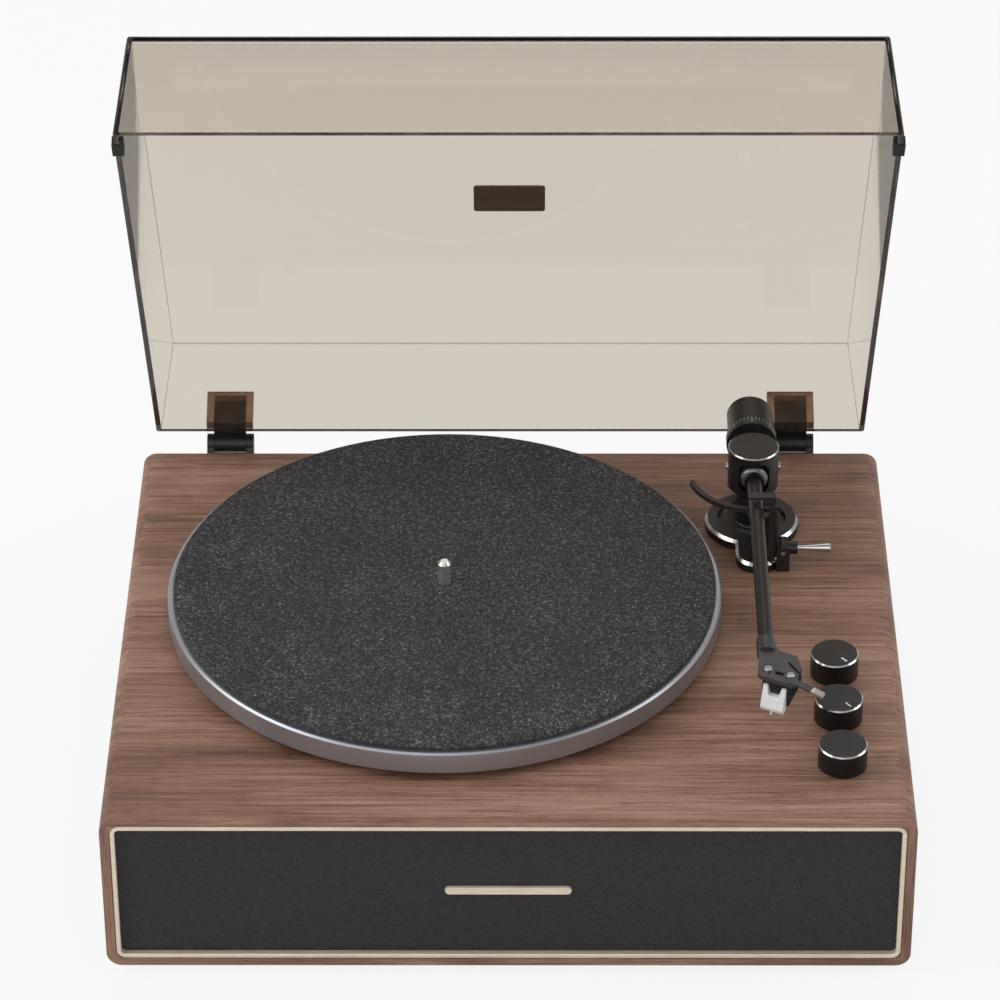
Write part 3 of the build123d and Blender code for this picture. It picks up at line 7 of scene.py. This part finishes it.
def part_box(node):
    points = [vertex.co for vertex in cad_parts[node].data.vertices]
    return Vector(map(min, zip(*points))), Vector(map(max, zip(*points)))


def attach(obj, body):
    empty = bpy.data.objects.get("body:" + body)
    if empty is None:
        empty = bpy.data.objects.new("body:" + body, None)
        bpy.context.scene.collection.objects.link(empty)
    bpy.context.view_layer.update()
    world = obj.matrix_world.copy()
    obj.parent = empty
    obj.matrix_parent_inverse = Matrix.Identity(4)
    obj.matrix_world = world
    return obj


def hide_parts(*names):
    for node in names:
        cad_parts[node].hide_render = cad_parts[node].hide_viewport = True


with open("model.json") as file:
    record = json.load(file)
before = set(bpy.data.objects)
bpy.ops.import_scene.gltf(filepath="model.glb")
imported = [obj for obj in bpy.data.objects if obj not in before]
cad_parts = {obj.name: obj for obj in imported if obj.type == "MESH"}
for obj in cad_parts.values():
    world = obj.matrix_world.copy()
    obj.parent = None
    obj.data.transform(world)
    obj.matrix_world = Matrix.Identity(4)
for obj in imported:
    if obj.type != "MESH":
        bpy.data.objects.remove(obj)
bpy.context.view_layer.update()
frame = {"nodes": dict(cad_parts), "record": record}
bpy.ops.object.select_all(action="DESELECT")

# The view: a long lens above the front of the player, looking down at it on a white table.
# Two big soft lamps stand left and right, a weaker one in front and one behind above.
# None of this belongs to the player.
camera_place = Vector((0.009214, -2.065868, 1.563396))
camera_yaw = math.radians(0.392)
camera_pitch = math.radians(55.916)
camera_roll = math.radians(-0.209)
bpy.ops.object.camera_add()
camera = bpy.context.object
camera.name = "camera"
camera.data.lens = 166.58
camera.data.sensor_width = 36.0
camera.data.clip_end = 20.0
camera.matrix_world = (
    Matrix.Translation(camera_place)
    @ Matrix.Rotation(camera_yaw, 4, "Z")
    @ Matrix.Rotation(camera_pitch, 4, "X")
    @ Matrix.Rotation(camera_roll, 4, "Z")
)
bpy.context.scene.camera = camera
bpy.context.scene.view_settings.view_transform = "Standard"

lamps = {
    "left_lamp": ((-1.7, -0.3, 1.3), 1.4, 17.0),
    "right_lamp": ((1.8, 0.1, 1.2), 1.0, 9.0),
    "front_lamp": ((-0.4, -2.2, 1.5), 1.6, 11.0),
    "back_lamp": ((0.1, 1.5, 1.9), 1.4, 9.0),
}
lamp_aim = Vector((0.0, 0.0, 0.08))
for name, (place, size, power) in lamps.items():
    bpy.ops.object.light_add(type="AREA", location=place)
    lamp = bpy.context.object
    lamp.name = name
    lamp.data.size = size
    lamp.data.energy = power
    lamp.rotation_euler = (lamp_aim - Vector(place)).to_track_quat("-Z", "Y").to_euler()


def seen_white(tree, plain, share):
    """Mix a white glow over a shader, for the rays that show the background."""
    path = tree.nodes.new("ShaderNodeLightPath")
    seen = tree.nodes.new("ShaderNodeMath")
    seen.operation = "MAXIMUM"
    tree.links.new(path.outputs["Is Camera Ray"], seen.inputs[0])
    tree.links.new(path.outputs["Is Transmission Ray"], seen.inputs[1])
    amount = tree.nodes.new("ShaderNodeMath")
    amount.operation = "MULTIPLY"
    amount.inputs[1].default_value = share
    tree.links.new(seen.outputs[0], amount.inputs[0])
    glow = tree.nodes.new("ShaderNodeEmission")
    mix = tree.nodes.new("ShaderNodeMixShader")
    tree.links.new(amount.outputs[0], mix.inputs[0])
    tree.links.new(plain, mix.inputs[1])
    tree.links.new(glow.outputs[0], mix.inputs[2])
    return mix.outputs[0]


world = bpy.data.worlds.new("studio")
world.use_nodes = True
world.node_tree.nodes["Background"].inputs["Color"].default_value = (1.0, 1.0, 1.0, 1.0)
world.node_tree.nodes["Background"].inputs["Strength"].default_value = 0.42
bpy.context.scene.world = world

bpy.ops.mesh.primitive_plane_add(size=12.0)
floor = bpy.context.object
floor.name = "floor"
table = bpy.data.materials.new("table_white")
table.use_nodes = True
table_tree = table.node_tree
table_shader = table_tree.nodes["Principled BSDF"]
table_shader.inputs["Base Color"].default_value = (0.86, 0.86, 0.86, 1.0)
table_shader.inputs["Roughness"].default_value = 0.9
table_shown = seen_white(table_tree, table_shader.outputs[0], 0.85)
table_tree.links.new(table_shown, table_tree.nodes["Material Output"].inputs["Surface"])
floor.data.materials.append(table)

# Cabinet: one tube of board in walnut veneer, mitred at its corners, with a satin lacquer.
# The grain runs across the top and on down the sides, and the cut edges show it in front.
cabinet_low, cabinet_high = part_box("cabinet_shell")


def paint(red, green, blue):
    """A linear colour from the 0 to 255 values of a swatch."""
    def linear(value):
        share = value / 255.0
        return share / 12.92 if share <= 0.04045 else ((share + 0.055) / 1.055) ** 2.4
    return (linear(red), linear(green), linear(blue), 1.0)


def new_material(name):
    """An empty material with its node tree and its shader."""
    material = bpy.data.materials.new(name)
    material.use_nodes = True
    return material, material.node_tree, material.node_tree.nodes["Principled BSDF"]


def calculate(tree, operation, first, second=None, third=None):
    """One Math node; each input is a socket or a number."""
    node = tree.nodes.new("ShaderNodeMath")
    node.operation = operation
    for socket, value in zip(node.inputs, (first, second, third)):
        if isinstance(value, bpy.types.NodeSocket):
            tree.links.new(value, socket)
        elif value is not None:
            socket.default_value = value
    return node.outputs[0]


def place_on(tree):
    """The three coordinates of a point of the piece, in metres in the player's frame."""
    split = tree.nodes.new("ShaderNodeSeparateXYZ")
    tree.links.new(tree.nodes.new("ShaderNodeTexCoord").outputs["Object"], split.inputs[0])
    return split.outputs[0], split.outputs[1], split.outputs[2]


def speckle(tree, vector, scale, detail=4.0, roughness=0.55, distortion=0.0):
    """The value of a noise over a vector."""
    noise = tree.nodes.new("ShaderNodeTexNoise")
    noise.inputs["Scale"].default_value = scale
    noise.inputs["Detail"].default_value = detail
    noise.inputs["Roughness"].default_value = roughness
    noise.inputs["Distortion"].default_value = distortion
    tree.links.new(vector, noise.inputs["Vector"])
    return noise.outputs["Fac"]


def shades(tree, factor, *stops):
    """A colour ramp: each stop is a place and a colour."""
    ramp = tree.nodes.new("ShaderNodeValToRGB")
    tree.links.new(factor, ramp.inputs[0])
    band = ramp.color_ramp
    while len(band.elements) < len(stops):
        band.elements.new(0.5)
    for element, (place, colour) in zip(band.elements, stops):
        element.position = place
        element.color = colour
    return ramp.outputs[0]


def span(tree, factor, low, high):
    """A value from 0 to 1 spread between two others."""
    spread = tree.nodes.new("ShaderNodeMapRange")
    tree.links.new(factor, spread.inputs["Value"])
    spread.inputs["To Min"].default_value = low
    spread.inputs["To Max"].default_value = high
    return spread.outputs[0]


def raise_by(tree, shader, height, depth):
    """Bump from a height of 0 to 1, with its depth in metres."""
    bump = tree.nodes.new("ShaderNodeBump")
    bump.inputs["Strength"].default_value = 1.0
    bump.inputs["Distance"].default_value = depth
    tree.links.new(height, bump.inputs["Height"])
    tree.links.new(bump.outputs[0], shader.inputs["Normal"])


def dress(material, *nodes):
    """Give one material to nodes of the construction."""
    for name in nodes:
        for place in frame["nodes"][name].material_slots:
            place.material = material


walnut, tree, shader = new_material("walnut_veneer")
x, y, z = place_on(tree)
drop = calculate(tree, "SUBTRACT", cabinet_high.z, z)
along = calculate(tree, "MULTIPLY_ADD", calculate(tree, "SIGN", x), drop, x)
inward = calculate(tree, "SUBTRACT", cabinet_high.x, calculate(tree, "ABSOLUTE", x))
from_foot = calculate(tree, "SUBTRACT", z, cabinet_low.z)
depth = calculate(tree, "MINIMUM", calculate(tree, "MINIMUM", drop, inward), from_foot)


def grain(tree, lengthwise, crosswise):
    """Noise coordinates drawn out along the grain."""
    joined = tree.nodes.new("ShaderNodeCombineXYZ")
    tree.links.new(calculate(tree, "MULTIPLY", along, lengthwise), joined.inputs[0])
    tree.links.new(calculate(tree, "MULTIPLY", y, crosswise), joined.inputs[1])
    tree.links.new(calculate(tree, "MULTIPLY", depth, crosswise), joined.inputs[2])
    return joined.outputs[0]


figure = speckle(tree, grain(tree, 3.0, 14.0), 1.0, 3.0, 0.5, 1.4)
streaks = speckle(tree, grain(tree, 11.0, 420.0), 1.0, 6.0, 0.6, 0.9)
pores = speckle(tree, grain(tree, 90.0, 1900.0), 1.0, 2.0, 0.5)
tone = calculate(tree, "MULTIPLY_ADD", figure, 0.5, calculate(tree, "MULTIPLY", streaks, 0.5))
wood = shades(
    tree, tone,
    (0.36, paint(104, 72, 58)), (0.47, paint(140, 103, 84)),
    (0.55, paint(164, 126, 105)), (0.66, paint(188, 150, 128)),
)
pore_mask = shades(tree, pores, (0.34, (0.42, 0.36, 0.33, 1.0)), (0.46, (1.0, 1.0, 1.0, 1.0)))
darken = tree.nodes.new("ShaderNodeMix")
darken.data_type = "RGBA"
darken.blend_type = "MULTIPLY"
darken.inputs["Factor"].default_value = 0.6
tree.links.new(wood, darken.inputs["A"])
tree.links.new(pore_mask, darken.inputs["B"])
tree.links.new(darken.outputs["Result"], shader.inputs["Base Color"])
tree.links.new(span(tree, streaks, 0.62, 0.42), shader.inputs["Roughness"])
raise_by(tree, shader, pores, 0.00012)
dress(walnut, "cabinet_shell")

# Rubber parts: the feet, the cover's bumpers, the motor's grommets and the drive belt.
# All are black rubber with a fine dusty bloom, screwed or pressed in place.
def finish(name, dark, light, size, roughness, metallic=0.0, bump=0.0, stretch=(1.0, 1.0, 1.0)):
    """A material that varies between two colours over features of one size."""
    material, tree, shader = new_material(name)
    mapping = tree.nodes.new("ShaderNodeMapping")
    mapping.inputs["Scale"].default_value = stretch
    tree.links.new(tree.nodes.new("ShaderNodeTexCoord").outputs["Object"], mapping.inputs[0])
    value = speckle(tree, mapping.outputs[0], 1.0 / size)
    colour = shades(tree, value, (0.35, dark), (0.65, light))
    tree.links.new(colour, shader.inputs["Base Color"])
    tree.links.new(span(tree, value, *roughness), shader.inputs["Roughness"])
    shader.inputs["Metallic"].default_value = metallic
    if bump:
        raise_by(tree, shader, value, bump)
    return material


rubber = finish("black_rubber", paint(24, 24, 25), paint(40, 39, 40), 0.0006, (0.6, 0.8), bump=0.00004)
dress(rubber, "feet", "cover_bumpers", "motor_grommets", "drive_belt")

# Baffle and back panel: black painted fibreboard, screwed into the ends of the cabinet.
# The paint is thin, so the board's fine grain shows through it.
board = finish("black_board", paint(26, 25, 25), paint(38, 36, 36), 0.0012, (0.55, 0.75), bump=0.00006)
dress(board, "front_baffle", "back_panel", "grille_frame")

# Trim and badge of the grille: extruded aluminium, brushed lengthwise and anodised champagne.
# The ring is pressed into the front of the cabinet, and the bar is glued to the cloth.
champagne = finish(
    "champagne_anodised", paint(232, 214, 190), paint(250, 236, 214), 0.0007,
    (0.3, 0.42), metallic=0.4, bump=0.00001, stretch=(0.05, 1.0, 1.0),
)
dress(champagne, "grille_trim", "grille_badge")

# Grille cloth: a plain weave of black and charcoal yarn, stretched over the front frame and
# stapled behind it, so it lies flat and shows only its weave.
cloth_low, cloth_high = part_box("grille_cloth")
cloth_corner = 0.0025
yarn_pitch = 0.00085
bpy.ops.mesh.primitive_plane_add(
    size=1.0,
    location=(0.0, cloth_low.y, (cloth_low.z + cloth_high.z) / 2),
    rotation=(math.pi / 2, 0.0, 0.0),
)
cloth = bpy.context.object
cloth.name = "woven_grille_cloth"
cloth.scale = (cloth_high.x - cloth_low.x, cloth_high.z - cloth_low.z, 1.0)
bpy.ops.object.transform_apply(location=True, rotation=True, scale=True)
bpy.ops.object.mode_set(mode="EDIT")
bpy.ops.mesh.select_all(action="SELECT")
bpy.ops.mesh.bevel(offset=cloth_corner, segments=5, affect="VERTICES")
bpy.ops.object.mode_set(mode="OBJECT")
thicken = cloth.modifiers.new("thickness", "SOLIDIFY")
thicken.thickness = cloth_high.y - cloth_low.y
thicken.offset = -1.0
bpy.ops.object.modifier_apply(modifier="thickness")

weave, tree, shader = new_material("grille_weave")
x, y, z = place_on(tree)
across = calculate(tree, "SINE", calculate(tree, "MULTIPLY", x, math.pi / yarn_pitch))
upward = calculate(tree, "SINE", calculate(tree, "MULTIPLY", z, math.pi / yarn_pitch))
crossing = calculate(tree, "MULTIPLY", across, upward)
over = calculate(tree, "MULTIPLY_ADD", crossing, 0.5, 0.5)
slub = speckle(tree, tree.nodes.new("ShaderNodeTexCoord").outputs["Object"], 600.0)
yarn = calculate(tree, "MULTIPLY_ADD", slub, 0.45, calculate(tree, "MULTIPLY", over, 0.55))
yarn_colour = shades(
    tree, yarn,
    (0.25, paint(18, 16, 18)), (0.55, paint(44, 40, 43)), (0.85, paint(76, 70, 73)),
)
tree.links.new(yarn_colour, shader.inputs["Base Color"])
shader.inputs["Roughness"].default_value = 0.9
shader.inputs["Sheen Weight"].default_value = 0.15
raise_by(tree, shader, over, 0.0002)
cloth.data.materials.append(weave)
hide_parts("grille_cloth")
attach(cloth, "cabinet")

# Moulded black parts: speaker baskets, hinge bases, arm rest, cueing cylinder, lever bracket
# and the potentiometers. They are glass-filled nylon with a fine spark-eroded texture.
nylon = finish("black_nylon", paint(26, 24, 24), paint(40, 37, 36), 0.0005, (0.38, 0.5), bump=0.00003)
dress(
    nylon, "speaker_baskets", "hinge_bases", "hinge_tongues", "arm_rest", "lift_cylinder",
    "lever_bracket", "control_pots", "board_parts", "sub_platter", "lift_bar",
)
paper = finish("pressed_paper", paint(30, 29, 28), paint(48, 46, 44), 0.002, (0.8, 0.9), bump=0.0001)
dress(paper, "speaker_cones")

# Circuit board: green glass laminate with a satin solder mask.
# It stands on four pillars over the cabinet's floor.
laminate = finish("circuit_board", paint(18, 70, 34), paint(30, 96, 48), 0.004, (0.35, 0.5))
dress(laminate, "main_board")

# Fasteners and plain turned steel: zinc-plated screws, pins, pillars, shafts and the motor.
# Their plating is slightly clouded.
plated = finish(
    "plated_steel", paint(168, 168, 170), paint(205, 205, 207), 0.003, (0.22, 0.38), metallic=1.0
)
dress(
    plated, "wood_screws", "panel_screws", "board_screws", "hinge_screws", "pivot_screws",
    "panel_nuts", "pivot_pins", "board_standoffs", "motor_can", "motor_pulley", "weight_shaft",
    "yoke_spindle", "headshell_screws",
)
turned_brass = finish(
    "turned_brass", paint(170, 130, 66), paint(205, 165, 96), 0.002, (0.25, 0.4), metallic=1.0
)
dress(turned_brass, "bearing_housing", "weight_bush")

# Rear sockets: nickel-plated barrels and rims on black moulded bodies behind the panel.
# The plating starts at the panel's face.
def inlay(material, mask, colour, roughness, metallic):
    """Another finish on the part of a material where a mask is 1."""
    tree = material.node_tree
    shader = tree.nodes["Principled BSDF"]
    for name, value in (("Base Color", colour), ("Roughness", roughness), ("Metallic", metallic)):
        socket = shader.inputs[name]
        mix = tree.nodes.new("ShaderNodeMix")
        mix.data_type = "RGBA" if name == "Base Color" else "FLOAT"
        pair = [s for s in mix.inputs if s.enabled and s.name in ("A", "B")]
        if socket.links:
            tree.links.new(socket.links[0].from_socket, pair[0])
        else:
            pair[0].default_value = socket.default_value
        pair[1].default_value = value
        tree.links.new(mask, mix.inputs["Factor"])
        tree.links.new([s for s in mix.outputs if s.enabled][0], socket)


def between(tree, coordinate, low, high):
    """1 where a coordinate lies between two values."""
    return calculate(tree, "COMPARE", coordinate, (low + high) / 2, (high - low) / 2)


panel_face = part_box("back_panel")[1].y
socket_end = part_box("rear_sockets")[1].y
plating_gap = 0.0001
past_end = 0.001
socket_finish = finish("socket_body", paint(20, 20, 20), paint(32, 32, 32), 0.001, (0.35, 0.5))
x, y, z = place_on(socket_finish.node_tree)
plated_end = between(socket_finish.node_tree, y, panel_face + plating_gap, socket_end + past_end)
inlay(socket_finish, plated_end, paint(196, 194, 190), 0.22, 1.0)
dress(socket_finish, "rear_sockets")

# Cover: one moulding of clear smoked acrylic, 3 mm thick, with slightly drawn-in sides and
# polished edges that look dark end on. It hangs on two hinges at its back wall.
hinge = next(j for j in frame["record"]["behaviour"]["joints"] if j["name"] == "cover_hinge")
hinge_place = Vector(hinge["pos_m"])
cover_open = math.radians(61.7)
cover_width = 0.404
cover_top_width = 0.394
cover_depth = 0.320
cover_height = 0.059
cover_wall = 0.003
cover_edge = 0.0016
cover_setback = 0.0142
cover_low = -0.0001
front_wall_margin = 0.001
smooth_under = math.radians(35.0)
bpy.ops.mesh.primitive_cube_add(
    size=1.0, location=(0.0, -cover_setback - cover_depth / 2, cover_low + cover_height / 2)
)
cover = bpy.context.object
cover.name = "smoked_cover"
cover.scale = (cover_width, cover_depth, cover_height)
bpy.ops.object.transform_apply(location=True, rotation=True, scale=True)
acrylic, tree, shader = new_material("smoked_acrylic")
shader.inputs["Base Color"].default_value = (0.68, 0.625, 0.55, 1.0)
shader.inputs["Roughness"].default_value = 0.02
shader.inputs["IOR"].default_value = 1.25
shader.inputs["Transmission Weight"].default_value = 1.0
x, y, z = place_on(tree)
back_from_hinge = calculate(
    tree, "SUBTRACT",
    calculate(tree, "MULTIPLY", calculate(tree, "SUBTRACT", y, hinge_place.y), math.cos(cover_open)),
    calculate(tree, "MULTIPLY", calculate(tree, "SUBTRACT", z, hinge_place.z), math.sin(cover_open)),
)
# The front wall, at the top when the cover is open, gets a paler tint than the rest of the same
# moulding: a painted reflection, standing in for the light that this wall reflects at a grazing angle.
front_wall_inside = front_wall_margin + cover_wall - cover_setback - cover_depth
painted_reflection_wall = calculate(tree, "LESS_THAN", back_from_hinge, front_wall_inside)
tree.links.new(
    shades(tree, painted_reflection_wall, (0.0, (0.68, 0.625, 0.55, 1.0)), (1.0, (0.9, 0.87, 0.83, 1.0))),
    shader.inputs["Base Color"],
)
edge_acrylic, tree, shader = new_material("smoked_edge")
shader.inputs["Roughness"].default_value = 0.06
shader.inputs["IOR"].default_value = 1.49
shader.inputs["Transmission Weight"].default_value = 0.35
tree.links.new(
    shades(
        tree, speckle(tree, tree.nodes.new("ShaderNodeTexCoord").outputs["Object"], 60.0),
        (0.4, paint(44, 37, 33)), (0.6, paint(66, 56, 50)),
    ),
    shader.inputs["Base Color"],
)
cover.data.materials.append(acrylic)
cover.data.materials.append(edge_acrylic)
middle_z = cover_low + cover_height / 2
bpy.ops.object.mode_set(mode="EDIT")
bpy.ops.mesh.select_mode(type="VERT")
bpy.ops.mesh.select_all(action="DESELECT")
bpy.ops.object.mode_set(mode="OBJECT")
for vertex in cover.data.vertices:
    vertex.select = vertex.co.z > middle_z
bpy.ops.object.mode_set(mode="EDIT")
bpy.ops.transform.resize(value=(cover_top_width / cover_width, 1.0, 1.0))
bpy.ops.mesh.select_mode(type="EDGE")
bpy.ops.mesh.select_all(action="DESELECT")
bpy.ops.object.mode_set(mode="OBJECT")
for edge in cover.data.edges:
    heights = [cover.data.vertices[i].co.z for i in edge.vertices]
    edge.select = max(heights) > middle_z
bpy.ops.object.mode_set(mode="EDIT")
bpy.ops.mesh.bevel(offset=cover_edge, segments=4, material=1)
bpy.ops.mesh.select_mode(type="FACE")
bpy.ops.mesh.select_all(action="DESELECT")
bpy.ops.object.mode_set(mode="OBJECT")
for face in cover.data.polygons:
    face.select = face.normal.z < -0.9
    if face.center.y > -cover_setback - 2 * cover_edge and face.center.z > middle_z:
        face.material_index = 0
bpy.ops.object.mode_set(mode="EDIT")
bpy.ops.mesh.delete(type="FACE")
bpy.ops.object.mode_set(mode="OBJECT")
wall = cover.modifiers.new("wall", "SOLIDIFY")
wall.thickness = cover_wall
wall.offset = -1.0
wall.use_even_offset = True
wall.material_offset_rim = 1
bpy.ops.object.modifier_apply(modifier="wall")
bpy.ops.object.shade_smooth_by_angle(angle=smooth_under)
cover.location = hinge_place
cover.rotation_euler = (-cover_open, 0.0, 0.0)
bpy.ops.object.transform_apply(location=True, rotation=True, scale=True)
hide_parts("dust_cover")
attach(cover, "cover")

# Plate on the cover: a thin bronze-coloured plate, brushed, glued to the middle of the top.
# Its middle is left bare.
bronze = finish(
    "bronze_plate", paint(112, 90, 74), paint(134, 110, 92), 0.0008, (0.35, 0.48),
    metallic=0.25, stretch=(0.05, 1.0, 1.0),
)
dress(bronze, "cover_badge")

# Hinge sockets: smoked brown blocks of the same family of plastic as the cover, welded to its
# back wall. Light shows through them and they look darker where they are thick.
smoked_brown, tree, shader = new_material("smoked_brown")
tree.links.new(
    shades(
        tree, speckle(tree, tree.nodes.new("ShaderNodeTexCoord").outputs["Object"], 120.0),
        (0.4, paint(150, 118, 98)), (0.6, paint(176, 144, 122)),
    ),
    shader.inputs["Base Color"],
)
shader.inputs["Roughness"].default_value = 0.12
shader.inputs["IOR"].default_value = 1.49
shader.inputs["Transmission Weight"].default_value = 0.8
dress(smoked_brown, "hinge_sockets")

# Platter: a turned aluminium casting with a satin rim and a broken corner, on the spindle's
# seat. Fine turning marks run round it.
platter_low, platter_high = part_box("platter")
platter_middle = (platter_low + platter_high) / 2
platter_finish, tree, shader = new_material("turned_aluminium")
x, y, z = place_on(tree)
marks = tree.nodes.new("ShaderNodeCombineXYZ")
from_axis_x = calculate(tree, "SUBTRACT", x, platter_middle.x)
from_axis_y = calculate(tree, "SUBTRACT", y, platter_middle.y)
sideways_squared = calculate(tree, "MULTIPLY", from_axis_y, from_axis_y)
reach_squared = calculate(tree, "MULTIPLY_ADD", from_axis_x, from_axis_x, sideways_squared)
reach = calculate(tree, "SQRT", reach_squared)
tree.links.new(reach, marks.inputs[0])
tree.links.new(z, marks.inputs[1])
turning = speckle(tree, marks.outputs[0], 2600.0, 2.0)
tree.links.new(
    shades(tree, turning, (0.3, paint(158, 160, 166)), (0.7, paint(182, 184, 190))),
    shader.inputs["Base Color"],
)
tree.links.new(span(tree, turning, 0.3, 0.42), shader.inputs["Roughness"])
shader.inputs["Metallic"].default_value = 0.85
raise_by(tree, shader, turning, 0.00001)
dress(platter_finish, "platter")

# Mat: a disc of rubberised cork, charcoal with pale specks, 3 mm thick, laid loose.
# The specks stand slightly proud, and the disc's edge is rubbed smooth.
mat_finish, tree, shader = new_material("speckled_mat")
where = tree.nodes.new("ShaderNodeTexCoord").outputs["Object"]
coarse = speckle(tree, where, 620.0, 3.0, 0.7)
fine = speckle(tree, where, 1700.0, 2.0, 0.6)
cloudy = speckle(tree, where, 26.0, 3.0)
speck = calculate(tree, "MULTIPLY_ADD", fine, 0.45, calculate(tree, "MULTIPLY", coarse, 0.55))
speck_tone = calculate(tree, "MULTIPLY_ADD", cloudy, 0.06, calculate(tree, "SUBTRACT", speck, 0.03))
tree.links.new(
    shades(
        tree, speck_tone,
        (0.40, paint(30, 29, 31)), (0.51, paint(54, 53, 55)),
        (0.58, paint(88, 86, 88)), (0.66, paint(160, 157, 156)),
    ),
    shader.inputs["Base Color"],
)
shader.inputs["Roughness"].default_value = 0.85
raise_by(tree, shader, speck, 0.0004)
dress(mat_finish, "platter_mat")

# Spindle: ground and polished steel, with a chamfered tip that centres the record.
# It stands on its ball in the bearing and carries the platter.
polished = finish(
    "polished_steel", paint(214, 214, 215), paint(238, 238, 239), 0.004, (0.22, 0.32), metallic=0.9
)
dress(polished, "spindle")

# Knobs: turned aluminium, anodised black, with a diamond-cut chamfer that stays bright.
# Volume and source have a short line cut into the top.
knob_edge = 0.0007
knob_edge_margin = 0.00002
for name in ("power_knob", "source_knob", "volume_knob"):
    knob_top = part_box(name)[1].z
    knob_finish = finish(
        name + "_black", paint(22, 20, 20), paint(34, 31, 31), 0.0008, (0.3, 0.4), metallic=0.3
    )
    tree = knob_finish.node_tree
    x, y, z = place_on(tree)
    cut = between(tree, z, knob_top - knob_edge + knob_edge_margin, knob_top - knob_edge_margin)
    inlay(knob_finish, cut, paint(214, 212, 210), 0.2, 1.0)
    dress(knob_finish, name)

# Tonearm base, yoke and cap: aluminium in a fine satin black, with polished chamfers.
# The column's nut clamps the base to the deck, and the yoke turns on the column.
def edged(name, low, high):
    """Satin black with a bright band between two heights."""
    material = finish(name, paint(38, 34, 33), paint(52, 47, 45), 0.0009, (0.34, 0.46), metallic=0.35)
    tree = material.node_tree
    x, y, z = place_on(tree)
    inlay(material, between(tree, z, low, high), paint(206, 204, 202), 0.2, 1.0)
    return material


base_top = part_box("tonearm_base")[1].z
base_edge = 0.0016
edge_margin = 0.0001
cap_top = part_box("yoke_cap")[1].z
cap_edge = 0.0007
dress(edged("tonearm_base_black", base_top - base_edge, base_top - edge_margin), "tonearm_base")
dress(edged("yoke_cap_black", cap_top - cap_edge, cap_top - edge_margin), "yoke_cap")
satin_black = finish(
    "satin_black", paint(34, 30, 29), paint(50, 45, 43), 0.0009, (0.3, 0.42), metallic=0.35
)
dress(satin_black, "yoke_housing", "arm_tube", "counterweight", "bearing_column")
hub_finish = finish(
    "hub_grey", paint(112, 109, 107), paint(138, 135, 133), 0.002, (0.28, 0.38), metallic=0.8
)
hub_ring_length = 0.003
x, y, z = place_on(hub_finish.node_tree)
hub_ring = calculate(hub_finish.node_tree, "LESS_THAN", y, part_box("arm_hub")[0].y + hub_ring_length)
inlay(hub_finish, hub_ring, paint(30, 27, 26), 0.35, 0.3)
dress(hub_finish, "arm_hub")

# Force dial: a black ring that turns on the counterweight, with a plain scale of white ticks
# round it, every fifth one longer.
dial_low, dial_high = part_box("weight_dial")
dial_middle = (dial_low + dial_high) / 2
tick_count = 40
dial_finish = finish("dial_black", paint(26, 24, 24), paint(36, 34, 33), 0.0009, (0.35, 0.45))
tree = dial_finish.node_tree
x, y, z = place_on(tree)
angle = calculate(
    tree, "ARCTAN2",
    calculate(tree, "SUBTRACT", z, dial_middle.z), calculate(tree, "SUBTRACT", x, dial_middle.x),
)
turns = calculate(tree, "MULTIPLY", angle, tick_count / (2 * math.pi))


def ticks(tree, count_on, width, low, high):
    """White marks where the turn comes round to a whole number."""
    phase = calculate(tree, "PINGPONG", calculate(tree, "ADD", count_on, 1000.0), 0.5)
    line = calculate(tree, "LESS_THAN", phase, width)
    return calculate(tree, "MULTIPLY", line, between(tree, y, low, high))


dial_length = dial_high.y - dial_low.y
tick_end = dial_high.y - 0.0002
short = ticks(tree, turns, 0.05, dial_high.y - 0.35 * dial_length, tick_end)
every_fifth = calculate(tree, "MULTIPLY", turns, 0.2)
long = ticks(tree, every_fifth, 0.012, dial_high.y - 0.7 * dial_length, tick_end)
inlay(dial_finish, calculate(tree, "MAXIMUM", short, long), paint(225, 224, 220), 0.5, 0.0)
dress(dial_finish, "weight_dial")

# Headshell: a die-cast plate in dark grey, its finger lift at the right rubbed bright at the tip.
# It is clamped on the tube's end, and two bright screws hold the cartridge under it.
tube_low, tube_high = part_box("arm_tube")
shell_offset = math.radians(26.5)
shell_aside = 0.0055
shell_ahead = 0.0265
lift_tip_start = 0.0205
shell_middle = Vector(((tube_low.x + tube_high.x) / 2 + shell_aside, tube_low.y - shell_ahead, 0.0))
shell_finish = finish(
    "headshell_grey", paint(66, 65, 67), paint(86, 85, 87), 0.0008, (0.3, 0.42), metallic=0.5
)
tree = shell_finish.node_tree
x, y, z = place_on(tree)
sideways = calculate(
    tree, "MULTIPLY_ADD", calculate(tree, "SUBTRACT", x, shell_middle.x), math.cos(shell_offset),
    calculate(tree, "MULTIPLY", calculate(tree, "SUBTRACT", y, shell_middle.y), -math.sin(shell_offset)),
)
lift_tip = calculate(tree, "GREATER_THAN", sideways, lift_tip_start)
inlay(shell_finish, lift_tip, paint(205, 204, 203), 0.2, 1.0)
dress(shell_finish, "headshell")

# Cartridge: a black moulded body, and a white stylus carrier clipped on its front.
# The carrier is a glossy plastic.
cartridge_black = finish("cartridge_black", paint(20, 20, 21), paint(30, 30, 31), 0.0008, (0.2, 0.3))
cartridge_white = finish("carrier_white", paint(228, 227, 224), paint(240, 239, 236), 0.002, (0.2, 0.3))
dress(cartridge_black, "cartridge_body")
dress(cartridge_white, "stylus_carrier")

# Cueing lever: a black sleeve on its pin with a chromed rod and grip.
# The rod is pressed into the sleeve.
sleeve_end = 0.1585
rod_gap = 0.00005
lever_finish = finish("lever_black", paint(24, 22, 22), paint(34, 32, 31), 0.0008, (0.3, 0.4))
tree = lever_finish.node_tree
x, y, z = place_on(tree)
rod = calculate(tree, "GREATER_THAN", x, sleeve_end + rod_gap)
inlay(lever_finish, rod, paint(200, 199, 198), 0.15, 1.0)
dress(lever_finish, "cue_lever")
